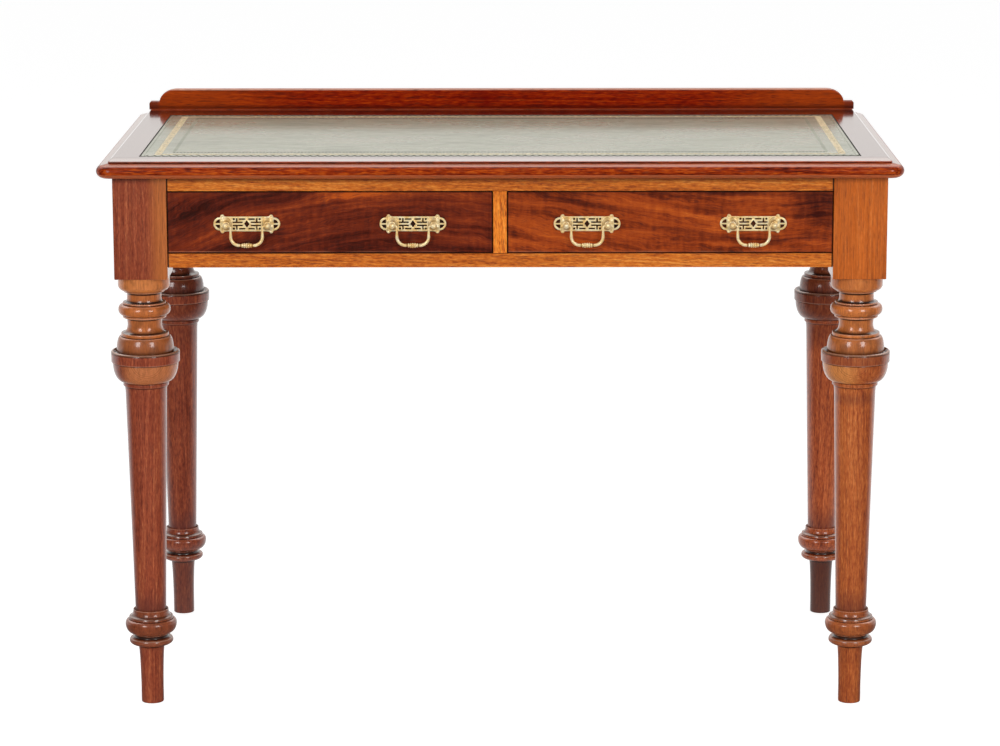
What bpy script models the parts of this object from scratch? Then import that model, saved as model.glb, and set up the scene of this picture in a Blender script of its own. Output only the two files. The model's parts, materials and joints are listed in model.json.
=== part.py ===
"""Writing table with turned legs, two drawers, a leather-lined top and a low back gallery.

Metres, +Z up, +X to the right of a person looking at the drawers, which face -Y.
The origin is on the floor under the middle of the top.
"""
import math

import bmesh
import bpy

# Overall sizes
TOP_WIDTH = 1.062
TOP_DEPTH = 0.576
TOP_HEIGHT = 0.750
TOP_THICKNESS = 0.025
TOP_OVERHANG = 0.0205
POST_SIZE = 0.071
POST_BELOW_APRON = 0.0165
APRON_HEIGHT = 0.120
APRON_THICKNESS = 0.022
TOP_RAIL_THICKNESS = 0.018
BOTTOM_RAIL_THICKNESS = 0.0185
DIVIDER_WIDTH = 0.018
SETBACK = 0.001

# Clearances
SEAT = 0.0003
FRONT_GAP = 0.0010
RUNNING_PLAY = 0.0010
CUT_PAST = 0.002
SMOOTH_DEG = 35

# Edge of the top, from its underside up: a round nose, a quirk and a rolled arris
NOSE_WIDTH = 0.0105
NOSE_LOWER = 0.0092
NOSE_UPPER = 0.0078
NOSE_SHOULDER = 0.0075
NOSE_STEPS = 3
QUIRK_INSET = 0.0158
BACK_QUIRK_INSET = 0.0112
QUIRK_FOOT = 0.0067
FRONT_ROLL_WIDTH = 0.0165
SIDE_ROLL_WIDTH = 0.0045
BACK_ROLL_WIDTH = 0.0060
ROLL_DROP = 0.0043
ROLL_STEPS = 3
TOP_CORNER_RADIUS = 0.020
TOP_CORNER_STEPS = 3

# Leather let into the top
LEATHER_BORDER_SIDE = 0.0543
LEATHER_BORDER_FRONT = 0.0412
LEATHER_BORDER_BACK = 0.0966
LEATHER_THICKNESS = 0.0012

# Gallery along the back of the top
GALLERY_HEIGHT = 0.0296
GALLERY_THICKNESS = 0.017
GALLERY_FRONT_FROM_BACK_EDGE = 0.0353
GALLERY_END_INSET = 0.0176
GALLERY_TAB_LENGTH = 0.015
GALLERY_TAB_HEIGHT = 0.0113
GALLERY_TAB_ROUND = 0.003
GALLERY_TAB_STEPS = 2
GALLERY_SHOULDER_LENGTH = 0.026
GALLERY_ARC_STEPS = 5

# Joinery of the frame
APRON_TENON_LENGTH = 0.030
APRON_TENON_THICKNESS = 0.010
APRON_TENON_SHOULDER = 0.015
RAIL_TENON_LENGTH = 0.025
RAIL_TENON_SHOULDER_SIDE = 0.012
RAIL_TENON_SHOULDER_EDGE = 0.004
TAIL_LAP_SHOULDER = 0.007
TAIL_LAP_FLARE = 0.005
DIVIDER_TENON_LENGTH = 0.008
DIVIDER_TENON_SHOULDER_SIDE = 0.004
DIVIDER_TENON_SHOULDER_END = 0.012
RUNNER_BEARING = 0.022
RUNNER_TONGUE_LENGTH = 0.008
RUNNER_TONGUE_SHOULDER = 0.005
GUIDE_HEIGHT = 0.020
STOP_WIDTH = 0.045
STOP_LENGTH = 0.018
STOP_CLEARANCE = 0.003
STOP_SPREAD = 0.140

# Drawers
DRAWER_BACK_ROOM = 0.071
DRAWER_FRONT_THICKNESS = 0.020
DRAWER_SIDE_THICKNESS = 0.010
DRAWER_BACK_THICKNESS = 0.010
DRAWER_BACK_DROP = 0.004
DRAWER_BOTTOM_THICKNESS = 0.006
DRAWER_BOTTOM_RISE = 0.008
DRAWER_BOTTOM_INSET = 0.002
GROOVE_DEPTH = 0.005
FRONT_LAP = 0.006
FRONT_TAIL_COUNT = 3
BACK_TAIL_COUNT = 2
TAIL_END_WIDTH = 0.017
TAIL_ROOT_WIDTH = 0.012

# Drop handles
HANDLE_SPREAD = 0.1095
HANDLE_HEIGHT = 0.040
PLATE_THICKNESS = 0.0018
FIELD_HALF_LENGTH = 0.0290
FIELD_HALF_HEIGHT = 0.0098
LEAF_HALF_WIDTH = 0.0032
LEAF_HALF_HEIGHT = 0.0125
LEAF_START_DEG = 150
LEAF_STEPS = 3
LOBE_RADIUS = 0.0086
LOBE_STEPS = 3
LOBE_RIM = 0.0026
LOBE_BAR = 0.0020
FAN_STEPS = 2
PIERCED_HALF_LENGTH = 0.0186
DIAMOND_HALF_WIDTH = 0.0032
DIAMOND_HALF_HEIGHT = 0.0043
SLOT_WIDTH = 0.0019
DASH_START = 0.0021
DASH_LENGTH = 0.0083
DASH_HEIGHT = 0.0064
BAR_LENGTH = 0.0132
BAR_HEIGHT = 0.0021
STEM_INSET = 0.0054
STEM_TOP = 0.0076
POST_SPREAD = 0.0275
PIVOT_DROP = 0.0015
PIVOT_REACH = 0.0085
SHANK_RADIUS = 0.0019
COLLAR_RADIUS = 0.0046
COLLAR_THICKNESS = 0.0014
NECK_RADIUS = 0.0026
HEAD_RADIUS = 0.0038
HEAD_STEPS = 3
POST_SIDES = 8
PIN_RADIUS = 0.0012
EYE_PLAY = 0.0003
NUT_SIZE = 0.0080
NUT_THICKNESS = 0.0030
BAIL_SIDES = 7
BAIL_DROP = 0.0258
BAIL_NECK_BEND = 0.0028
BAIL_NECK_STEPS = 2
BAIL_CORNER_RADIUS = 0.0115
BAIL_CORNER_STEPS = 3
BAIL_RADIUS = 0.0020
KNOP_HALF_LENGTH = 0.0070
KNOP_RADIUS = 0.0032
KNOP_GROOVE_RADIUS = 0.0024
KNOP_RING_COUNT = 3

# Turned legs: each member has a shape, a rise and the radius that it ends at
LEG_SIDES = 16
ARC_CHORD = 0.011
ARC_MOST_STEPS = 3
SOLE_RADIUS = 0.0145
COLLAR_STEP = 0.0010
LEG_COLLAR_RADIUS = POST_SIZE / 2 - COLLAR_STEP
LEG_BELOW_SHAFT = [
    ("round", 0.0020, 0.0150),
    ("hollow", 0.0770, 0.0181),
    ("round", 0.0092, 0.0285),
    ("round", 0.0042, 0.0262),
    ("line", 0.0018, 0.0226),
    ("line", 0.0018, 0.0248),
    ("round", 0.0150, 0.0347),
    ("round", 0.0058, 0.0304),
    ("line", 0.0000, 0.0292),
    ("line", 0.0042, 0.0288),
    ("hollow", 0.0085, 0.0238),
    ("line", 0.0010, 0.0237),
    ("line", 0.0000, 0.0206),
]
SHAFT_TOP_RADIUS = 0.0274
LEG_ABOVE_SHAFT = [
    ("hollow", 0.0150, 0.0293),
    ("line", 0.0000, 0.0304),
    ("line", 0.0050, 0.0304),
    ("round", 0.0260, 0.0437),
    ("line", 0.0000, 0.0456),
    ("line", 0.0145, 0.0459),
    ("round", 0.0020, 0.0440),
    ("line", 0.0000, 0.0384),
    ("round", 0.0195, 0.0330),
    ("line", 0.0000, 0.0313),
    ("line", 0.0048, 0.0313),
    ("hollow", 0.0105, 0.0228),
    ("line", 0.0045, 0.0229),
    ("hollow", 0.0027, 0.0262),
    ("line", 0.0000, 0.0291),
    ("line", 0.0040, 0.0291),
    ("round", 0.0076, 0.0348),
    ("round", 0.0075, 0.0300),
    ("line", 0.0000, 0.0285),
    ("line", 0.0030, 0.0285),
    ("hollow", 0.0050, 0.0229),
    ("line", 0.0030, 0.0228),
    ("hollow", 0.0036, 0.0258),
    ("round", 0.0093, LEG_COLLAR_RADIUS),
    ("line", 0.0155, LEG_COLLAR_RADIUS),
]

# Places worked out from the sizes
LEG_X = TOP_WIDTH / 2 - TOP_OVERHANG - POST_SIZE / 2
LEG_Y = TOP_DEPTH / 2 - TOP_OVERHANG - POST_SIZE / 2
OUTER_X = LEG_X + POST_SIZE / 2
INNER_X = LEG_X - POST_SIZE / 2
INNER_Y = LEG_Y - POST_SIZE / 2
TOP_UNDERSIDE = TOP_HEIGHT - TOP_THICKNESS
FRAME_TOP = TOP_UNDERSIDE - SEAT
APRON_BOTTOM = TOP_UNDERSIDE - APRON_HEIGHT
POST_BOTTOM = APRON_BOTTOM - POST_BELOW_APRON
RUN_Z = APRON_BOTTOM + BOTTOM_RAIL_THICKNESS
KICK_Z = TOP_UNDERSIDE - TOP_RAIL_THICKNESS
FRONT_Y = -(LEG_Y + POST_SIZE / 2 - SETBACK)
RAIL_BACK_Y = -INNER_Y
APRON_INNER_X = OUTER_X - SETBACK - APRON_THICKNESS
APRON_INNER_Y = LEG_Y + POST_SIZE / 2 - SETBACK - APRON_THICKNESS
OPENING_HALF_WIDTH = (INNER_X - DIVIDER_WIDTH / 2) / 2
OPENING_HEIGHT = KICK_Z - RUN_Z
DRAWER_LENGTH = APRON_INNER_Y - FRONT_Y - DRAWER_BACK_ROOM
DRAWER_X = (INNER_X + DIVIDER_WIDTH / 2) / 2
DRAWER_HALF_WIDTH = OPENING_HALF_WIDTH - FRONT_GAP
BAIL_HALF_WIDTH = POST_SPREAD - HEAD_RADIUS - BAIL_NECK_BEND
EYE_RADIUS = (PIN_RADIUS + EYE_PLAY) / math.cos(math.pi / POST_SIDES)
SHANK_HOLE_RADIUS = (SHANK_RADIUS + SEAT) / math.cos(math.pi / POST_SIDES)


def clear_scene():
    for item in list(bpy.data.objects):
        bpy.data.objects.remove(item, do_unlink=True)


def make_material(name, color, roughness, metallic=0.0):
    material = bpy.data.materials.new(name)
    material.use_nodes = True
    shader = material.node_tree.nodes["Principled BSDF"]
    shader.inputs["Base Color"].default_value = (*color, 1.0)
    shader.inputs["Roughness"].default_value = roughness
    shader.inputs["Metallic"].default_value = metallic
    return material


def add_empty(name, location, parent=None):
    empty = bpy.data.objects.new(name, None)
    empty.location = location
    empty.parent = parent
    bpy.context.collection.objects.link(empty)
    return empty


def add_object(name, bm, material=None, parent=None, location=(0, 0, 0), smooth=False):
    bmesh.ops.recalc_face_normals(bm, faces=bm.faces)
    mesh = bpy.data.meshes.new(name)
    bm.to_mesh(mesh)
    bm.free()
    if smooth:
        mesh.shade_smooth()
        mesh.set_sharp_from_angle(angle=math.radians(SMOOTH_DEG))
    item = bpy.data.objects.new(name, mesh)
    item.location = location
    item.parent = parent
    if material:
        mesh.materials.append(material)
    bpy.context.collection.objects.link(item)
    return item


def carve(item, bm):
    """Cut the closed shapes in bm, given in the item's own coordinates, out of the item."""
    cutter = add_object("cut_" + item.name, bm, parent=item.parent, location=item.location)
    cutter.hide_render = True
    cutter.display_type = "WIRE"
    boolean = item.modifiers.new("cut", "BOOLEAN")
    boolean.operation = "DIFFERENCE"
    boolean.solver = "EXACT"
    boolean.object = cutter


def add_loft(bm, rings):
    """Skin point loops of equal length one after the other and cap both ends."""
    loops = [[bm.verts.new(point) for point in ring] for ring in rings]
    for low, high in zip(loops, loops[1:]):
        for i in range(len(low)):
            j = (i + 1) % len(low)
            bm.faces.new((low[i], low[j], high[j], high[i]))
    bm.faces.new(list(reversed(loops[0])))
    bm.faces.new(loops[-1])


def on_axis(axis, along, first, second):
    """The point at a place along x, y or z, with the two other coordinates in order."""
    return {"x": (along, first, second), "y": (first, along, second), "z": (first, second, along)}[axis]


def add_beam(bm, axis, sections):
    """Loft (place, first range, second range) rectangles along x, y or z."""
    rings = []
    for place, (low_a, high_a), (low_b, high_b) in sections:
        corners = ((low_a, low_b), (high_a, low_b), (high_a, high_b), (low_a, high_b))
        rings.append([on_axis(axis, place, a, b) for a, b in corners])
    add_loft(bm, rings)


def add_box(bm, x_range, y_range, z_range):
    add_beam(bm, "z", [(z, x_range, y_range) for z in z_range])


def add_prism(bm, axis, outline, start, end):
    """Extrude a closed outline of (first, second) pairs along x, y or z."""
    add_loft(bm, [[on_axis(axis, place, a, b) for a, b in outline] for place in (start, end)])


def grown(span, amount):
    return (span[0] - amount, span[1] + amount)


def shrunk(span, amount):
    return grown(span, -amount)


def mirrored(span, side):
    """Mirror a positive-side range to the given side, still in rising order."""
    return tuple(sorted((side * span[0], side * span[1])))


def arc(centre, radii, start_deg, end_deg, steps):
    """Points of an ellipse arc in a plane, both ends included."""
    points = []
    for i in range(steps + 1):
        angle = math.radians(start_deg + (end_deg - start_deg) * i / steps)
        points.append((centre[0] + radii[0] * math.cos(angle), centre[1] + radii[1] * math.sin(angle)))
    return points


def circle(radius, height, sides):
    turns = [2 * math.pi * i / sides for i in range(sides)]
    return [(radius * math.cos(turn), radius * math.sin(turn), height) for turn in turns]


def square(half, height, sides):
    """A square loop whose points lie at the same angles as those of a circle."""
    loop = []
    for x, y, z in circle(1.0, height, sides):
        reach = half / max(abs(x), abs(y))
        loop.append((x * reach, y * reach, z))
    return loop


def tenoned(start, end, body, tenon, length):
    """Sections of a bar with a tenon at each end, the shoulders at start and end."""
    return [
        (start - length, *tenon),
        (start, *tenon),
        (start, *body),
        (end, *body),
        (end, *tenon),
        (end + length, *tenon),
    ]


def turned_profile(members, radius, height):
    """Stack turned members upwards and return (radius, height) points."""
    points = [(radius, height)]
    for shape, rise, end in members:
        grow = end - radius
        steps = 1
        if shape != "line":
            steps = min(ARC_MOST_STEPS, math.ceil((rise + abs(grow)) / ARC_CHORD))
        for i in range(1, steps + 1):
            share = i / steps
            early, late = math.sin(share * math.pi / 2), 1 - math.cos(share * math.pi / 2)
            if shape == "line":
                across, along = share, share
            elif (shape == "round") == (grow > 0):
                across, along = early, late
            else:
                across, along = late, early
            points.append((radius + grow * across, height + rise * along))
        radius = end
        height += rise
    return points


def leg_profile():
    """Points of the turned part; the shaft takes up the height that the other members leave."""
    fixed = sum(rise for _, rise, _ in LEG_BELOW_SHAFT + LEG_ABOVE_SHAFT)
    shaft = [("line", POST_BOTTOM - fixed, SHAFT_TOP_RADIUS)]
    return turned_profile(LEG_BELOW_SHAFT + shaft + LEG_ABOVE_SHAFT, SOLE_RADIUS, 0.0)


# Cross-sections that pieces and their sockets share
SIDE_APRON = ((APRON_INNER_X, OUTER_X - SETBACK), (APRON_BOTTOM, FRAME_TOP))
BACK_APRON = ((APRON_INNER_Y, APRON_INNER_Y + APRON_THICKNESS), (APRON_BOTTOM, FRAME_TOP))
TOP_RAIL = ((FRONT_Y, RAIL_BACK_Y), (KICK_Z, FRAME_TOP))
BOTTOM_RAIL = ((FRONT_Y, RAIL_BACK_Y), (APRON_BOTTOM, RUN_Z))
BOTTOM_RAIL_TENON = (
    shrunk(BOTTOM_RAIL[0], RAIL_TENON_SHOULDER_SIDE),
    shrunk(BOTTOM_RAIL[1], RAIL_TENON_SHOULDER_EDGE),
)
TOP_RAIL_TAIL_ROOT = (
    shrunk(TOP_RAIL[0], RAIL_TENON_SHOULDER_SIDE + TAIL_LAP_FLARE),
    (KICK_Z + TAIL_LAP_SHOULDER, FRAME_TOP - SEAT),
)
TOP_RAIL_TAIL_END = (grown(TOP_RAIL_TAIL_ROOT[0], TAIL_LAP_FLARE), TOP_RAIL_TAIL_ROOT[1])
DIVIDER = ((-DIVIDER_WIDTH / 2, DIVIDER_WIDTH / 2), (FRONT_Y, RAIL_BACK_Y))
DIVIDER_TENON = (
    shrunk(DIVIDER[0], DIVIDER_TENON_SHOULDER_SIDE),
    shrunk(DIVIDER[1], DIVIDER_TENON_SHOULDER_END),
)
SIDE_BEARER_X = (INNER_X - RUNNER_BEARING, APRON_INNER_X - SEAT)
SIDE_TONGUE_X = shrunk((INNER_X - RUNNER_BEARING, INNER_X), RUNNER_TONGUE_SHOULDER)
CENTRE_BEARER_X = (-DIVIDER_WIDTH / 2 - RUNNER_BEARING, DIVIDER_WIDTH / 2 + RUNNER_BEARING)
CENTRE_TONGUE_X = shrunk(CENTRE_BEARER_X, RUNNER_TONGUE_SHOULDER)
RUNNER_Z = BOTTOM_RAIL[1]
KICKER_Z = TOP_RAIL[1]


def apron_tenon(apron):
    """Tenon of an apron, centred in its thickness and cut back at its edges."""
    thickness = apron[0][1] - apron[0][0]
    return (
        shrunk(apron[0], (thickness - APRON_TENON_THICKNESS) / 2),
        shrunk(apron[1], APRON_TENON_SHOULDER),
    )


def top_rail_tail(clear):
    """Dovetail lap at the right end of the top rail: its end, and its section there and at the root."""
    end = INNER_X + RAIL_TENON_LENGTH
    wide = tuple(grown(span, clear) for span in TOP_RAIL_TAIL_END)
    narrow = tuple(grown(span, clear) for span in TOP_RAIL_TAIL_ROOT)
    return end + clear, wide, narrow


def tongue_z(z_range):
    return shrunk(z_range, RUNNER_TONGUE_SHOULDER)


def make_leg(name, side, end, material):
    """One leg: a turned lower part under a square post that is mortised for the frame."""
    bm = bmesh.new()
    rings = [circle(radius, height, LEG_SIDES) for radius, height in leg_profile()]
    rings += [square(POST_SIZE / 2, height, LEG_SIDES) for height in (POST_BOTTOM, FRAME_TOP)]
    add_loft(bm, rings)
    leg = add_object(name, bm, material, location=(side * LEG_X, end * LEG_Y, 0), smooth=True)

    cuts = bmesh.new()
    post_x, post_y = side * LEG_X, end * LEG_Y

    def add_mortise(x_range, y_range, z_range):
        add_box(cuts, mirrored(grown(x_range, SEAT), side), grown(y_range, SEAT), grown(z_range, SEAT))

    tenon = apron_tenon(SIDE_APRON)
    y_near = end * (INNER_Y - CUT_PAST)
    y_far = end * (INNER_Y + APRON_TENON_LENGTH)
    add_mortise(tenon[0], tuple(sorted((y_near, y_far))), tenon[1])
    if end > 0:
        tenon = apron_tenon(BACK_APRON)
        add_mortise((INNER_X - CUT_PAST, INNER_X + APRON_TENON_LENGTH), *tenon)
    else:
        add_mortise((INNER_X - CUT_PAST, INNER_X + RAIL_TENON_LENGTH), *BOTTOM_RAIL_TENON)
        tip, wide, narrow = top_rail_tail(SEAT)
        open_top = FRAME_TOP + CUT_PAST
        add_beam(cuts, "x", [
            (side * tip, wide[0], (wide[1][0], open_top)),
            (side * INNER_X, narrow[0], (narrow[1][0], open_top)),
            (side * (INNER_X - CUT_PAST), narrow[0], (narrow[1][0], open_top)),
        ])
    bmesh.ops.translate(cuts, verts=cuts.verts, vec=(-post_x, -post_y, 0))
    carve(leg, cuts)


def make_frame(wood, pale_wood):
    """Aprons, front rails and the divider between the two drawers."""
    shoulder_x = INNER_X - SEAT
    shoulder_y = INNER_Y - SEAT
    for word, side in (("left", -1), ("right", 1)):
        tenon = apron_tenon(SIDE_APRON)
        sections = tenoned(
            -shoulder_y, shoulder_y,
            (mirrored(SIDE_APRON[0], side), SIDE_APRON[1]),
            (mirrored(tenon[0], side), tenon[1]),
            APRON_TENON_LENGTH,
        )
        bm = bmesh.new()
        add_beam(bm, "y", sections)
        add_object("side_apron_" + word, bm, wood)

    bm = bmesh.new()
    tenon = apron_tenon(BACK_APRON)
    add_beam(bm, "x", tenoned(-shoulder_x, shoulder_x, BACK_APRON, tenon, APRON_TENON_LENGTH))
    back_apron = add_object("back_apron", bm, wood)
    cuts = bmesh.new()
    pocket_y = (APRON_INNER_Y - CUT_PAST, APRON_INNER_Y + RUNNER_TONGUE_LENGTH)
    for z_range in (RUNNER_Z, KICKER_Z):
        add_box(cuts, grown(CENTRE_TONGUE_X, SEAT), pocket_y, grown(tongue_z(z_range), SEAT))
    carve(back_apron, cuts)

    bm = bmesh.new()
    length = RAIL_TENON_LENGTH - SEAT
    add_beam(bm, "x", tenoned(-shoulder_x, shoulder_x, BOTTOM_RAIL, BOTTOM_RAIL_TENON, length))
    bottom_rail = add_object("front_bottom_rail", bm, pale_wood)
    carve(bottom_rail, rail_sockets(RUNNER_Z, RUN_Z, -1))

    tip, wide, narrow = top_rail_tail(0.0)
    bm = bmesh.new()
    add_beam(bm, "x", [
        (-tip, *wide),
        (-shoulder_x, *narrow),
        (-shoulder_x, *TOP_RAIL),
        (shoulder_x, *TOP_RAIL),
        (shoulder_x, *narrow),
        (tip, *wide),
    ])
    top_rail = add_object("front_top_rail", bm, pale_wood)
    carve(top_rail, rail_sockets(KICKER_Z, KICK_Z, 1))

    bm = bmesh.new()
    add_beam(bm, "z", tenoned(RUN_Z + SEAT, KICK_Z - SEAT, DIVIDER, DIVIDER_TENON, DIVIDER_TENON_LENGTH))
    add_object("drawer_divider", bm, pale_wood)


def rail_sockets(z_range, face_z, into):
    """Sockets of a front rail: one for the divider, and one for each tongue behind it."""
    cuts = bmesh.new()
    depth = sorted((face_z - into * CUT_PAST, face_z + into * DIVIDER_TENON_LENGTH))
    add_box(cuts, grown(DIVIDER_TENON[0], SEAT), grown(DIVIDER_TENON[1], SEAT), depth)
    pocket_y = (RAIL_BACK_Y - RUNNER_TONGUE_LENGTH, RAIL_BACK_Y + CUT_PAST)
    for x_range in (mirrored(SIDE_TONGUE_X, -1), CENTRE_TONGUE_X, SIDE_TONGUE_X):
        add_box(cuts, grown(x_range, SEAT), pocket_y, grown(tongue_z(z_range), SEAT))
    return cuts


def make_bearers(wood):
    """Runners under the drawers, kickers over them, and guides beside them."""
    start = RAIL_BACK_Y + SEAT
    tongue = RUNNER_TONGUE_LENGTH - SEAT
    for kind, z_range in (("runner", RUNNER_Z), ("kicker", KICKER_Z)):
        for word, side in (("left", -1), ("right", 1)):
            body = (mirrored(SIDE_BEARER_X, side), z_range)
            tip = (mirrored(SIDE_TONGUE_X, side), tongue_z(z_range))
            bm = bmesh.new()
            add_beam(bm, "y", tenoned(start, INNER_Y - SEAT, body, tip, tongue)[:4])
            add_object(kind + "_" + word, bm, wood)
        bm = bmesh.new()
        body = (CENTRE_BEARER_X, z_range)
        tip = (CENTRE_TONGUE_X, tongue_z(z_range))
        add_beam(bm, "y", tenoned(start, APRON_INNER_Y - SEAT, body, tip, tongue))
        add_object(kind + "_centre", bm, wood)

    guide_z = (RUN_Z + SEAT, RUN_Z + GUIDE_HEIGHT)
    for word, side in (("left", -1), ("right", 1)):
        bm = bmesh.new()
        add_box(bm, mirrored((INNER_X, APRON_INNER_X - SEAT), side), (start, INNER_Y - SEAT), guide_z)
        add_object("guide_" + word, bm, wood)
    bm = bmesh.new()
    add_box(bm, DIVIDER[0], (start, APRON_INNER_Y - SEAT), guide_z)
    add_object("guide_centre", bm, wood)

    stop_front = FRONT_Y + DRAWER_FRONT_THICKNESS + SEAT
    for drawer, drawer_side in (("left", -1), ("right", 1)):
        for word, side in (("left", -1), ("right", 1)):
            middle = drawer_side * DRAWER_X + side * STOP_SPREAD
            bm = bmesh.new()
            add_box(
                bm,
                (middle - STOP_WIDTH / 2, middle + STOP_WIDTH / 2),
                (stop_front, stop_front + STOP_LENGTH),
                (RUN_Z + SEAT, RUN_Z + DRAWER_BOTTOM_RISE - STOP_CLEARANCE),
            )
            add_object(drawer + "_drawer_stop_" + word, bm, wood)


def rounded_rectangle(x_range, y_range, radius, height):
    """A level loop with rounded corners, always with the same number of points."""
    loop = []
    corners = ((x_range[1], y_range[1], 1, 1), (x_range[0], y_range[1], -1, 1),
               (x_range[0], y_range[0], -1, -1), (x_range[1], y_range[0], 1, -1))
    for number, (x, y, side_x, side_y) in enumerate(corners):
        centre = (x - side_x * radius, y - side_y * radius)
        turn = 90 * number
        loop += [(a, b, height) for a, b in arc(centre, (radius, radius), turn, turn + 90, TOP_CORNER_STEPS)]
    return loop


LEATHER_X = (-TOP_WIDTH / 2 + LEATHER_BORDER_SIDE, TOP_WIDTH / 2 - LEATHER_BORDER_SIDE)
LEATHER_Y = (-TOP_DEPTH / 2 + LEATHER_BORDER_FRONT, TOP_DEPTH / 2 - LEATHER_BORDER_BACK)


def top_section(quirk_inset, roll_width):
    """(inset, height) points of one edge of the top, from its underside over nose and quirk to the flat."""
    nose_z = TOP_UNDERSIDE + NOSE_LOWER
    roll_z = TOP_HEIGHT - ROLL_DROP
    lower = arc((NOSE_WIDTH, nose_z), (NOSE_WIDTH, NOSE_LOWER), 270, 180, NOSE_STEPS)
    upper = arc((NOSE_SHOULDER, nose_z), (NOSE_SHOULDER, NOSE_UPPER), 180, 90, NOSE_STEPS)
    roll = arc((quirk_inset + roll_width, roll_z), (roll_width, ROLL_DROP), 180, 90, ROLL_STEPS)
    return [*lower, *upper[1:], (quirk_inset, TOP_HEIGHT - QUIRK_FOOT), *roll]


def make_top(wood, leather):
    """The top with a nose, a quirk and a rolled arris on every edge, and the leather let into it."""
    front = top_section(QUIRK_INSET, FRONT_ROLL_WIDTH)
    side = top_section(QUIRK_INSET, SIDE_ROLL_WIDTH)
    back = top_section(BACK_QUIRK_INSET, BACK_ROLL_WIDTH)
    rings = []
    for (front_inset, height), (side_inset, _), (back_inset, _) in zip(front, side, back):
        rings.append(rounded_rectangle(
            shrunk((-TOP_WIDTH / 2, TOP_WIDTH / 2), side_inset),
            (-TOP_DEPTH / 2 + front_inset, TOP_DEPTH / 2 - back_inset),
            max(TOP_CORNER_RADIUS - side_inset, SEAT),
            height,
        ))
    floor = TOP_HEIGHT - LEATHER_THICKNESS - SEAT
    for height in (TOP_HEIGHT, floor):
        rings.append(rounded_rectangle(LEATHER_X, LEATHER_Y, SEAT, height))
    bm = bmesh.new()
    add_loft(bm, rings)
    add_object("top_board", bm, wood, smooth=True)

    bm = bmesh.new()
    add_box(bm, shrunk(LEATHER_X, SEAT), shrunk(LEATHER_Y, SEAT), (floor + SEAT, TOP_HEIGHT))
    add_object("leather_panel", bm, leather)


def make_gallery(wood):
    """Low upright board along the back, stepped down to a tab at each end."""
    end = TOP_WIDTH / 2 - GALLERY_END_INSET
    inner = end - GALLERY_TAB_LENGTH
    rise = GALLERY_HEIGHT - GALLERY_TAB_HEIGHT
    half = [(end, SEAT)]
    half += arc(
        (end - GALLERY_TAB_ROUND, GALLERY_TAB_HEIGHT - GALLERY_TAB_ROUND),
        (GALLERY_TAB_ROUND, GALLERY_TAB_ROUND), 0, 90, GALLERY_TAB_STEPS,
    )
    half.append((inner, GALLERY_TAB_HEIGHT))
    half += arc(
        (inner - GALLERY_SHOULDER_LENGTH, GALLERY_TAB_HEIGHT),
        (GALLERY_SHOULDER_LENGTH, rise), 0, 90, GALLERY_ARC_STEPS,
    )[1:]
    outline = half + [(-x, z) for x, z in reversed(half)]
    front = TOP_DEPTH / 2 - GALLERY_FRONT_FROM_BACK_EDGE
    bm = bmesh.new()
    add_prism(bm, "y", [(x, TOP_HEIGHT + z) for x, z in outline], front, front + GALLERY_THICKNESS)
    add_object("gallery", bm, wood)


def tail_edge(root, tip, z_range, count, clear):
    """Dovetails in a row up the edge of a board: (y, z) points of each tail, grown by clear."""
    pitch = (z_range[1] - z_range[0]) / count
    reach = clear if tip > root else -clear
    tails = []
    for i in range(count):
        middle = z_range[0] + pitch * (i + 0.5)
        root_half = TAIL_ROOT_WIDTH / 2 + clear
        tip_half = TAIL_END_WIDTH / 2 + clear
        tails.append([
            (root, middle - root_half),
            (tip + reach, middle - tip_half),
            (tip + reach, middle + tip_half),
            (root, middle + root_half),
        ])
    return tails


# Drawer places, measured from the middle of its opening at the front of the running surface
FRONT_Z = (FRONT_GAP, OPENING_HEIGHT - FRONT_GAP)
SIDE_Z = (SEAT, OPENING_HEIGHT - RUNNING_PLAY)
SIDE_X = (DRAWER_HALF_WIDTH - DRAWER_SIDE_THICKNESS, DRAWER_HALF_WIDTH)
FRONT_SHOULDER = DRAWER_FRONT_THICKNESS + SEAT
BACK_FACE = DRAWER_LENGTH - DRAWER_BACK_THICKNESS
BACK_SHOULDER = BACK_FACE - SEAT
BOTTOM_Z = (DRAWER_BOTTOM_RISE, DRAWER_BOTTOM_RISE + DRAWER_BOTTOM_THICKNESS)
BACK_Z = (BOTTOM_Z[1] + SEAT, SIDE_Z[1] - DRAWER_BACK_DROP)


def make_drawer_sides(name, wood, parent):
    """Sides with tails at both ends and a groove for the bottom."""
    outline = [(FRONT_SHOULDER, SIDE_Z[0]), (DRAWER_LENGTH, SIDE_Z[0])]
    outline += [(DRAWER_LENGTH, BACK_Z[0] - SEAT), (BACK_SHOULDER, BACK_Z[0] - SEAT)]
    for tail in tail_edge(BACK_SHOULDER, DRAWER_LENGTH, BACK_Z, BACK_TAIL_COUNT, 0.0):
        outline += tail
    outline += [(BACK_SHOULDER, SIDE_Z[1]), (FRONT_SHOULDER, SIDE_Z[1])]
    for tail in reversed(tail_edge(FRONT_SHOULDER, FRONT_LAP, FRONT_Z, FRONT_TAIL_COUNT, 0.0)):
        outline += reversed(tail)
    for word, side in (("left", -1), ("right", 1)):
        bm = bmesh.new()
        add_prism(bm, "x", outline, *mirrored(SIDE_X, side))
        board = add_object(name + "_side_" + word, bm, wood, parent)
        cuts = bmesh.new()
        groove_x = (SIDE_X[0] - CUT_PAST, SIDE_X[0] + GROOVE_DEPTH)
        groove_y = (FRONT_SHOULDER - SEAT, DRAWER_LENGTH + CUT_PAST)
        add_box(cuts, mirrored(groove_x, side), groove_y, grown(BOTTOM_Z, SEAT))
        carve(board, cuts)


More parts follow.
